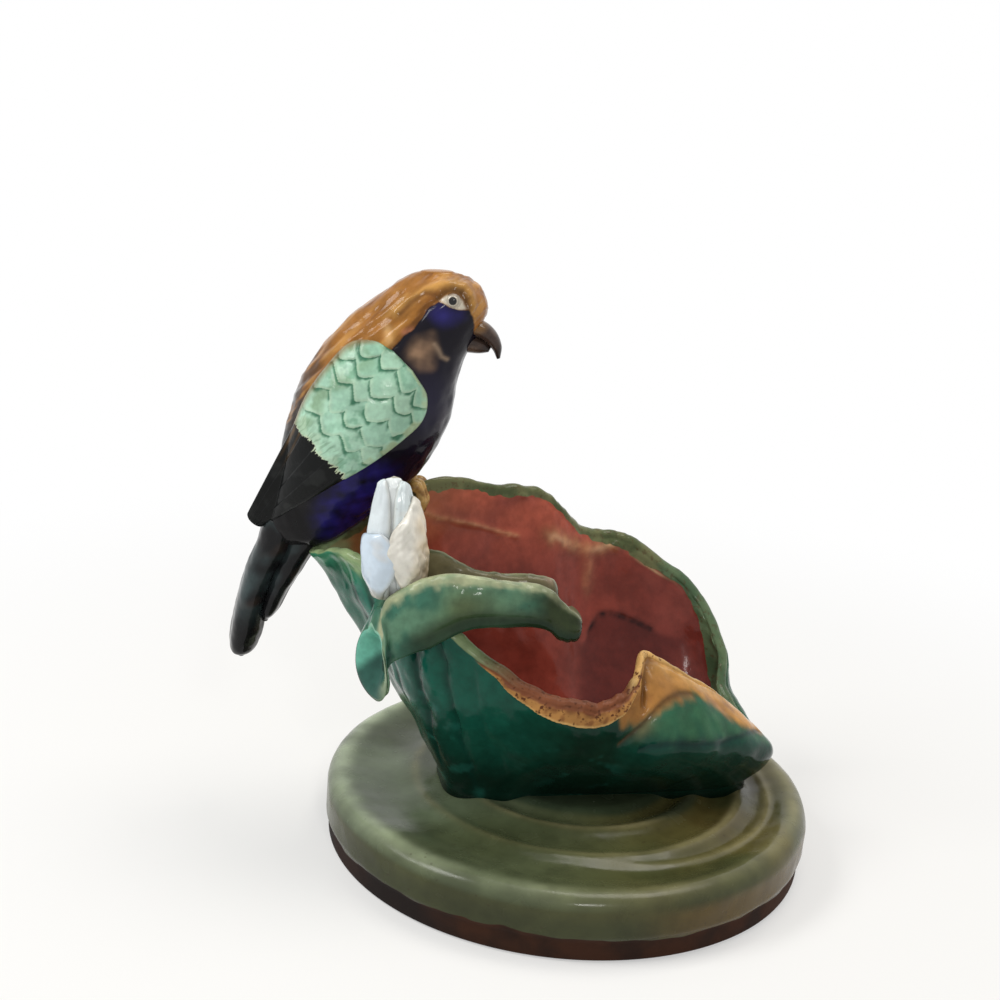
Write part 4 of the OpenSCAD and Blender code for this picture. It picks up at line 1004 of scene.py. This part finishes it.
def make_body(rows=230, cols=216):
    """Head and body: slices through a back line and a front line, each slice an oval, with a brow ridge, a
    fold behind the eye and fine strokes in the skin; a low dome shuts the crown."""
    A, T = round_grid(rows, cols)
    s = curve_at(BIRD_LINE, T)
    f = (1 + np.cos(A)) / 2
    X, Z = lerp(s[..., 0], s[..., 2], f), lerp(s[..., 1], s[..., 3], f)
    P = bird_at(X, s[..., 4] * BIRD_WIDE * np.sin(A), Z)
    N = outward_normals(P)
    mx, mz = X * BIRD_DEEP, Z * BIRD_TALL
    side = ease(np.abs(np.sin(A)), 0.2, 0.55)
    edge = path_distance(mx, mz, MASK_EDGE)
    h = 0.8 * drawn(mx, mz, BROW, 1.3) - 0.4 * drawn(mx, mz, SOCKET, 1.0)
    h -= 0.5 * drawn(mx, mz, BROW_FOLD, 0.8)
    h += 0.35 * hump(edge, 2.0, 1.5) - 0.5 * hump(edge, 0, 0.9) + 0.3 * drawn(mx, mz, CHEEK_CREASE, 0.8)
    dark = patch(mx, mz, DARK, 1.5)
    grain = mottle(np.stack([(mx + mz) / 20, (mz - mx) / 1.6, 3 * np.sin(A)], -1), 2.2, 72)
    h = side * h + 0.2 * grain * (1 - dark) + 0.25 * mottle(P, 14, 73)
    P = P + N * (h * ease(T, 0, 0.02))[..., None]
    crown = dome(P[0], np.linspace(np.pi / 2, 0, 10)[:-1], [0, 0, 0.5])

    def pad(a):
        """Carries the first ring's mean value over the crown."""
        return np.concatenate([np.broadcast_to(a[:1].mean(1, keepdims=True), crown.shape[:2] + a.shape[2:]), a])

    dark = dark * fall(patch(mx, mz, EYE_WHITE, 0.5), 0.6, 0.95)
    g = Glaze("plumage_glaze", pool=0.18, pool_size=9, gloss=(0.09, 0.18), ripple=0.14, shine=0.15)
    g.colour = g.mix(g.colour, g.painted("night"), g.ragged("dark", 3.0, 0.45, 0.16))
    masks = {"dark": pad(dark), "night": pad(night_tint(X, Z, P))}
    full = np.concatenate([crown, P])
    piece("bird", "bird_body", "plumage_glaze", g.done(), shell(full, pad(amber_tint(X, Z, P)), masks))


WING_LEAN, WING_TOP, WING_PUFF, WING_BORDER, COVERTS_END = math.radians(39), 66, 2.8, 2.3, 37.3
FEATHER_PITCH, FEATHER_W, FEATHER_TIP, FEATHER_ROWS = 6.1, 7.4, 3.0, 6
NO_EDGE = 9.0  # stands for a feather's edge too far off to show


def feather_tiles(p, q, pitch, width, depth, rows, seed):
    """Overlapping rounded feathers laid like tiles: p runs along them and q across. Row k ends at
    k * pitch less a rounded tip, each row half a feather aside. Gives the row that shows at a point, the
    distance on to its own tip, the distance back to the tip of the row above and a chance value for each
    feather."""
    rng = np.random.default_rng(seed)
    jitter = rng.uniform(-1, 1, (rows + 1, 64))
    tips, lots = [], []
    for k in range(rows + 1):
        c = q / width + 0.5 * (k % 2) + 20
        j = np.floor(c).astype(int) % 64
        across = 2 * (c - np.floor(c)) - 1
        lean = across + 0.25 * jitter[k, (j + 7) % 64] * (1 - across**2)
        tips.append(k * pitch + jitter[k, j] * pitch * 0.18 - depth * np.abs(lean) ** 1.35)
        lots.append(jitter[k, (j + 19) % 64])
    tips, lots = np.array(tips), np.array(lots)
    row = (p[None] >= tips).sum(0)
    pick = lambda table, i: np.take_along_axis(table, np.clip(i, 0, rows)[None], 0)[0]
    return row, pick(tips, row) - p, np.where(row > 0, p - pick(tips, row - 1), NO_EDGE), pick(lots, row)


def make_wing(name, node, hand, material, rows=250, cols=260):
    """A folded wing: a blade between its lower and upper edge that hugs the body, thick in the middle and
    blunt at its edges, with rows of tile-like feathers inside a smooth border, and long flight feathers
    beyond them."""
    outer_a = np.linspace(0, np.pi, cols - 60, endpoint=False)
    inner_a = np.linspace(np.pi, 2 * np.pi, 60, endpoint=False)
    A, T = np.meshgrid(np.concatenate([outer_a, inner_a]), np.linspace(0, 1, rows))
    s = curve_at(WING_LINE, T)
    f = (1 - np.cos(A)) / 2
    X, Z = lerp(s[..., 2], s[..., 0], f), lerp(s[..., 3], s[..., 1], f)
    puff = np.sign(np.sin(A)) * np.sqrt(np.abs(np.sin(A)))
    Y = body_side(X, Z, 0.88) + puff * WING_PUFF * np.sqrt(np.sin(np.radians(4 + 172 * T)))
    mx, mz = X * BIRD_DEEP, Z * BIRD_TALL
    W = np.stack([mx, mz], -1)
    c, d = math.cos(WING_LEAN), math.sin(WING_LEAN)
    p = WING_TOP - (mx * d + mz * c) + 0.6 * mottle(W, 17, 81)
    q = mx * c - mz * d + 0.8 * mottle(W, 15, 82)
    row, ahead, back, lot = feather_tiles(p, q, FEATHER_PITCH, FEATHER_W, FEATHER_TIP, FEATHER_ROWS, 83)
    streak = mottle(np.stack([p / 6, q / 0.9], -1), 1.5, 87)
    end = COVERTS_END + 0.8 * streak + 1.3 * mottle(W, 6, 91) - p
    coverts = end > 0
    back = np.where(row > FEATHER_ROWS, NO_EDGE, back) + 1.2 * ease(mottle(W, 11, 92) + 0.25 * (row - 4), 0.2, 0.9)
    wide = np.hypot((s[..., 2] - s[..., 0]) * BIRD_DEEP, (s[..., 3] - s[..., 1]) * BIRD_TALL)
    from_edge = np.minimum((1 - f) * wide, WING_BORDER * ease(T, 0, 0.05) + 60 * np.maximum(T - 0.05, 0))
    border = ease(WING_BORDER - from_edge, -0.4, 0.4) * fall(T, 0.5, 0.62)
    outer = ease(np.sin(A), 0.02, 0.25)
    blade = (4.2 * f + 0.3 * np.sin(3.5 * T)) % 1.0
    tile = 0.40 + 0.45 * np.exp(-np.maximum(ahead, 0) / 3.0) - 0.45 * hump(back, 0, 1.3) + 0.12 * lot
    tile = np.mean([np.roll(tile, (i, j), (0, 1)) for i in (-2, -1, 0, 1, 2) for j in (-2, 0, 2)], 0)
    flight = 0.3 * (1 - blade) ** 1.3 - 0.15
    Y = Y + outer * np.where(coverts, lerp(tile, 0.7, border), flight)

    tint = glazed(W.shape[:2] + (3,), (152, 196, 172), [
        # Painted light: paler towards the lower rows, which face down.
        ((176, 218, 196), 0.7 * ease(T, 0.25, 0.55)),
        ((176, 212, 188), 0.5 * ease(lot, -0.2, 0.9) + 0.4 * ease(mottle(W, 16, 84), 0, 0.9)),
        ((112, 164, 134), 0.6 * ease(-lot, 0.1, 0.9) * ease(mottle(W, 5, 85), -0.3, 0.6)),
        ((112, 140, 100), 0.6 * ease(0.42 - f, 0, 0.3) * ease(mottle(W, 9, 88), -0.3, 0.7)),
        # Dark green in the groove past each row's tips: glaze pooled there, with painted shade.
        ((52, 112, 84), 0.9 * ease(1.8 - back + 0.5 * mottle(W, 4, 89), 0, 1.5)),
        ((186, 212, 186), 0.5 * ease(1.7 - ahead, 0, 1.5)),
        ((112, 146, 116), 0.5 * ease(7 - end, 0, 4) * ease(streak, 0.1, 0.8)),
        ((206, 210, 178), 0.7 * ease(1.6 + 0.6 * streak - end, 0, 1.4)),
        ((170, 190, 152), 0.8 * border * ease(mottle(W, 8, 93), -0.6, 0.4)),
        ((128, 92, 48), 0.75 * ease(0.08 - f, 0, 0.08) * ease(T, 0.08, 0.2))])
    gold = hump(f * wide, 1.0, 0.5) + 0.7 * hump(f * wide, 3.4, 0.4)
    ink = glazed(tint.shape, (15, 17, 17), [
        ((44, 46, 46), 0.45 * ease(mottle(W, 13, 90), 0.2, 0.9)),
        ((16, 17, 18), 0.6 * ease(blade, 0.75, 1.0)),
        ((140, 104, 56), 0.6 * gold * ease(0.86 - T, 0, 0.2) * (0.7 + 0.4 * mottle(W, 8, 86)))])
    tint = np.where(coverts[..., None], tint, ink)
    P = bird_at(X, Y * hand, Z)
    tip = dome(P[-1], np.linspace(0.15, 1, 8) * np.pi / 2, [-0.99, 0, -1.494])
    tint = np.concatenate([tint, np.broadcast_to(tint[-1], tip.shape)])
    piece(name, node, "wing_glaze", material, shell(np.concatenate([P, tip]), tint))


LONG_LINE = np.array([
    [-0.90, -1.00, -0.80, -1.00, 0.10], [-0.98, -0.94, -0.69, -0.95, 0.36], [-0.99, -0.78, -0.61, -0.79, 0.48],
    [-0.92, -0.52, -0.56, -0.57, 0.50], [-0.81, -0.23, -0.44, -0.31, 0.47], [-0.68, 0.00, -0.28, -0.08, 0.41],
    [-0.60, 0.23, -0.16, 0.16, 0.35]])
SHORT_LINE = np.array([
    [-0.60, -0.67, -0.52, -0.68, 0.10], [-0.60, -0.56, -0.40, -0.58, 0.33], [-0.52, -0.32, -0.22, -0.34, 0.38],
    [-0.36, -0.05, 0.00, -0.08, 0.35], [-0.30, 0.15, 0.22, 0.08, 0.29]])
TAIL_SWEEP, TAIL_LEN, TAIL_W = 25.0, 38.5, 17.0


def make_tail(name, node, line, seed, material, rows=130, cols=110):
    """A tail feather: oval sections along a back line and a front line, smooth but uneven, with a low ridge
    down its middle and a domed tip."""
    A, T = round_grid(rows, cols)
    s = curve_at(line, T)
    f = (1 + np.cos(A)) / 2
    x = lerp(s[..., 0], s[..., 2], f) * TAIL_SWEEP
    z = lerp(s[..., 1], s[..., 3], f) * TAIL_LEN
    P = PERCH + np.stack([x, s[..., 4] * TAIL_W * np.sin(A), z], -1)
    N = outward_normals(P)
    shaft = 0.35 * hump(np.sin(A), 0, 0.16) * ease(T, 0.08, 0.3)
    P = P + N * ((shaft + 0.22 * mottle(P, 12, seed)) * ease(T, 0.02, 0.12))[..., None]
    tip = dome(P[0], np.linspace(np.pi / 2, 0, 8)[:-1], [0, 0, -0.9])
    tint = glazed(P.shape, (24, 24, 26), [
        ((52, 42, 38), 0.6 * ease(mottle(P, 16, seed + 1), 0.1, 0.9)),
        # Painted grey sheen on the feather's upper part.
        ((60, 74, 76), 0.75 * ease(mottle(P, 20, seed + 2), -0.6, 0.5) * ease(T, 0.35, 0.65))])
    tint = np.concatenate([np.broadcast_to(tint[0], tip.shape), tint])
    piece(name, node, "tail_glaze", material, shell(np.concatenate([tip, P]), tint))


def tube(path, r, side, rows=60, cols=30, knuckles=0.0):
    """A round limb along a path, narrowed at both ends, swollen at its knuckles."""
    s = np.linspace(0, 1, rows)
    centre = curve_at(path, s)
    d = unit(curve_at(path, s + 0.02) - curve_at(path, s - 0.02))
    e = unit(side - d * (d @ side)[:, None])
    n = np.cross(d, e)
    q = r * np.sqrt(np.maximum(0.06, np.sin(np.radians(6 + 168 * s))))
    q *= 1 + knuckles * np.sin(2 * np.pi * 3 * s + 1)
    a = np.linspace(0, 2 * np.pi, cols, endpoint=False)
    ring = np.cos(a)[None, :, None] * e[:, None] + np.sin(a)[None, :, None] * n[:, None]
    return centre[:, None] + q[:, None, None] * ring, np.meshgrid(a, s)[1]


TOE_R, TOE_GAP, TOE_DROP, TOE_CLEAR = 1.75, 3.325, 7.5, 0.875
TOE_BENDS = [(1, -0.25), (0.5, 0.15), (-0.5, 0.15), (-1, -0.25), (-1.1, -0.65), (-1, -1)]
LEG, LEG_R = np.array([-6.0, 0, 12.0]), 2.45


def make_foot(name, node, u, material):
    """Three toes curled over the leaf's edge, with claws, and a short leg up into the body."""
    u = np.array(u)
    c = leaf_wall(u, np.array(1.0), np.array(LEAF_WALL / 2))
    o = leaf_outward(u)
    along = np.array([-o[1], o[0], 0])
    out = np.array([o[0], o[1], 0])
    reach = LEAF_WALL / 2 + TOE_CLEAR
    shells = []

    def paint(P, S):
        """Buff, stained brown in patches and at both ends."""
        return glazed(P.shape, (196, 158, 96), [
            ((128, 84, 40), 0.7 * ease(mottle(P, 5, 91), 0, 0.8)),
            ((84, 56, 32), 0.8 * (ease(0.12 - S, 0, 0.1) + ease(S, 0.88, 1.0)))])

    for k in (-1, 0, 1):
        root = c + along * k * TOE_GAP
        path = np.array([root + out * x * reach + np.array([0, 0, z * TOE_DROP]) for x, z in TOE_BENDS])
        P, S = tube(path, TOE_R, along, knuckles=0.13)
        shells.append(shell(P, paint(P, S)))
    P, S = tube(np.array([c - [0, 0, TOE_CLEAR], c + LEG / 3, c + LEG]), LEG_R, along, rows=40)
    shells.append(shell(P, paint(P, S)))
    piece(name, node, "claw_glaze", material, *shells)


UPPER_LINE = np.array([
    [-0.25, 0.42, -0.25, -0.06, 0.50], [0.32, 0.27, 0.20, -0.13, 0.45], [0.64, 0.04, 0.42, -0.24, 0.35],
    [0.80, -0.28, 0.60, -0.40, 0.23], [0.79, -0.57, 0.71, -0.60, 0.08]])
LOWER_LINE = np.array([
    [-0.30, 0.00, -0.30, -0.50, 0.43], [0.12, -0.05, 0.02, -0.50, 0.38], [0.41, -0.16, 0.29, -0.50, 0.29],
    [0.57, -0.31, 0.50, -0.46, 0.10]])


BEAK_ROOT, BEAK_LEN, BEAK_W = (0.9, 0.80), 13, 11


def make_beak(name, node, line, material, rows=64, cols=64):
    """Half a beak: oval sections between its top line and its lower line, from the face to the tip."""
    A, S = round_grid(rows, cols)
    q = curve_at(line, S)
    f = (1 + np.sin(A)) / 2
    x, z = lerp(q[..., 2], q[..., 0], f) * BEAK_LEN, lerp(q[..., 3], q[..., 1], f) * BEAK_LEN
    P = bird_at(BEAK_ROOT[0], 0, BEAK_ROOT[1]) + np.stack([x, q[..., 4] * BEAK_W * np.cos(A), z], -1)
    tint = glazed(P.shape, (66, 52, 46), [
        ((116, 96, 82), 0.6 * ease(mottle(P, 7, 95), 0, 0.8) * ease(0.8 - S, 0, 0.5)),
        ((134, 98, 52), 0.8 * ease(0.42 - S, 0, 0.2) * ease(z, -1, 2)),
        ((30, 24, 24), 0.8 * ease(S, 0.55, 1.0))])
    piece(name, node, "beak_glaze", material, shell(P, tint))


def make_eye(name, node, hand, material, rows=60, cols=72):
    """An eye pellet: a ball with its pole outwards, painted as the eye white's almond with a black pupil, cobalt
    below and brown painted shade from the brow above.
    """
    out = body_side(np.array(EYE[0]), np.array(EYE[1])) - EYE_SUNK
    middle = bird_at(EYE[0], hand * out, EYE[1])
    axis = unit(np.array([0.30, hand * 0.93, 0.16]))
    e = unit(np.cross(axis, [0, 0, 1]))
    n = np.cross(axis, e)
    A, L = round_grid(rows, cols, 0.02, np.pi - 0.02)
    r = EYE_R - 0.08 * hump(L, 0.55, 0.08)
    ring = np.cos(A)[..., None] * e + np.sin(A)[..., None] * n
    P = middle + r[..., None] * (np.cos(L)[..., None] * axis + np.sin(L)[..., None] * ring)
    mx, mz = P[..., 0] - PERCH[0], P[..., 2] - PERCH[2]
    # Cobalt below; brown painted shade from the brow above.
    tint = lerp(pot(34, 31, 76), pot(96, 64, 34), ease(mz - 0.905 * BIRD_TALL, -0.4, 0.4)[..., None])
    tint = coat(tint, pot(206, 198, 182), patch(mx, mz, EYE_WHITE, 0.35))
    reach = np.hypot(mx - EYE[0] * BIRD_DEEP, mz - PUPIL_Z * BIRD_TALL)
    tint = coat(tint, pot(132, 120, 104), 0.6 * hump(reach, 1.75, 0.3))
    tint = coat(tint, pot(10, 9, 9), ease(PUPIL_R - reach, -0.12, 0.12))
    piece(name, node, "eye_glaze", material, shell(P, tint))


make_base()
make_leaf()
make_roll()
make_bud()
make_body()
wing_glaze = Glaze("wing_glaze", pool=0.16, pool_size=7, gloss=(0.08, 0.18), ripple=0.20, shine=0.14).done()
make_wing("wing_right", "right_wing", -1, wing_glaze)
make_wing("wing_left", "left_wing", 1, wing_glaze)
tail_glaze = Glaze("tail_glaze", pool=0.30, pool_size=10, gloss=(0.07, 0.16), ripple=0.12, shine=0.2).done()
make_tail("tail_feather_long", "tail_long", LONG_LINE, 101, tail_glaze)
make_tail("tail_feather_short", "tail_short", SHORT_LINE, 111, tail_glaze)
claw_glaze = Glaze("claw_glaze", pool=0.25, pool_size=4, gloss=(0.12, 0.25), ripple=0.2, speck=0.3).done()
make_foot("claws_right", "right_foot", 0.425, claw_glaze)
make_foot("claws_left", "left_foot", 0.397, claw_glaze)
beak_glaze = Glaze("beak_glaze", pool=0.25, pool_size=5, gloss=(0.10, 0.22), ripple=0.15).done()
make_beak("beak_upper", "upper_beak", UPPER_LINE, beak_glaze)
make_beak("beak_lower", "lower_beak", LOWER_LINE, beak_glaze)
eye_glaze = Glaze("eye_glaze", pool=0.08, pool_size=4, gloss=(0.04, 0.10), ripple=0.05, shine=0.4).done()
make_eye("eye_right", "right_eye", -1, eye_glaze)
make_eye("eye_left", "left_eye", 1, eye_glaze)


# Floor, light and camera

FLOOR_HALF, FLOOR_DROP = 3.0, 0.0004


def seen(tree):
    """1 for rays from the camera and for mirrored or refracted ones, 0 for the light that falls on things."""
    path = add_node(tree, "LightPath").outputs
    value = path["Is Camera Ray"]
    for key in ("Is Glossy Ray", "Is Transmission Ray"):
        value = add_node(tree, "Math", {0: value, 1: path[key]}, operation="MAXIMUM").outputs[0]
    return value


def make_stage():
    """A wide matt floor just under the base, which looks whiter with the distance from the middle."""
    x, y = np.meshgrid([-FLOOR_HALF, FLOOR_HALF], [-FLOOR_HALF, FLOOR_HALF])
    corners = np.stack([x, y, 0 * x - FLOOR_DROP], -1).reshape(-1, 3)
    mesh = bpy.data.meshes.new("floor")
    mesh.from_pydata(corners.tolist(), [], [[0, 1, 3, 2]])
    mat = bpy.data.materials.new("floor_paint")
    mat.use_nodes = True
    tree = mat.node_tree
    tree.nodes.clear()
    matt = add_node(tree, "BsdfDiffuse", {"Color": (0.86, 0.86, 0.85, 1)}).outputs[0]
    white = add_node(tree, "Emission", {"Strength": 1.0}).outputs[0]
    place = add_node(tree, "TexCoord").outputs["Object"]
    away = add_node(tree, "VectorMath", {0: place}, operation="LENGTH").outputs["Value"]
    far = eased_range(tree, away, 0.09, 0.42, 0.45, 1.0)
    share = add_node(tree, "Math", {0: far, 1: seen(tree)}, operation="MULTIPLY").outputs[0]
    both = add_node(tree, "MixShader", {0: share, 1: matt, 2: white}).outputs[0]
    add_node(tree, "OutputMaterial", {"Surface": both})
    mesh.materials.append(mat)
    floor = bpy.data.objects.new("floor", mesh)
    bpy.context.scene.collection.objects.link(floor)


def make_world():
    """A soft warm light from all round, behind a backdrop that looks white."""
    world = bpy.data.worlds.new("studio")
    bpy.context.scene.world = world
    world.use_nodes = True
    tree = world.node_tree
    soft = tree.nodes["Background"]
    soft.inputs["Color"].default_value = (1.0, 0.98, 0.94, 1)
    soft.inputs["Strength"].default_value = 0.36
    white = add_node(tree, "Background", {"Color": (1, 1, 1, 1), "Strength": 1.0}).outputs[0]
    both = add_node(tree, "MixShader", {0: seen(tree), 1: soft.outputs[0], 2: white}).outputs[0]
    tree.links.new(both, tree.nodes["World Output"].inputs["Surface"])


def lamp(name, place, aim, size, watts, colour):
    """A square lamp at a place, turned to face its aim, with its sides level."""
    light = bpy.data.lights.new(name, "AREA")
    light.size = size
    light.energy = watts
    light.color = colour
    obj = bpy.data.objects.new(name, light)
    place, aim = np.array(place), np.array(aim)
    back = unit(place - aim)
    right = unit(np.cross([0, 0, 1], back))
    axes = np.stack([right, np.cross(back, right), back, place], 1)
    obj.matrix_world = Matrix(axes.tolist() + [[0, 0, 0, 1]])
    bpy.context.scene.collection.objects.link(obj)


make_stage()
make_world()
lamp("window", (-0.75, -0.25, 0.85), (0, 0, 0.09), 0.4, 6.0, (1.0, 0.99, 0.96))
lamp("ceiling", (0.25, 0.15, 1.0), (0, 0, 0.08), 0.5, 4.5, (1.0, 0.96, 0.9))
lamp("front", (0.15, -0.8, 0.55), (0, 0, 0.08), 0.12, 1.2, (1.0, 0.98, 0.95))

CAMERA_PLACE, CAMERA_DOWN, CAMERA_ROLL = (-0.0284, -0.4292, 0.2315), math.radians(15.85), math.radians(4.45)
camera = bpy.data.cameras.new("camera")
camera.lens = 52.2
camera.sensor_width = 36
camera.dof.use_dof = False
camera.clip_start = 0.01
shot = bpy.data.objects.new("camera", camera)
shot.matrix_world = (Matrix.Translation(CAMERA_PLACE)
                     @ Matrix.Rotation(math.pi / 2 - CAMERA_DOWN, 4, "X")
                     @ Matrix.Rotation(CAMERA_ROLL, 4, "Z"))
bpy.context.scene.collection.objects.link(shot)
bpy.context.scene.camera = shot
bpy.context.scene.view_settings.view_transform = "Standard"

bpy.context.view_layer.update()
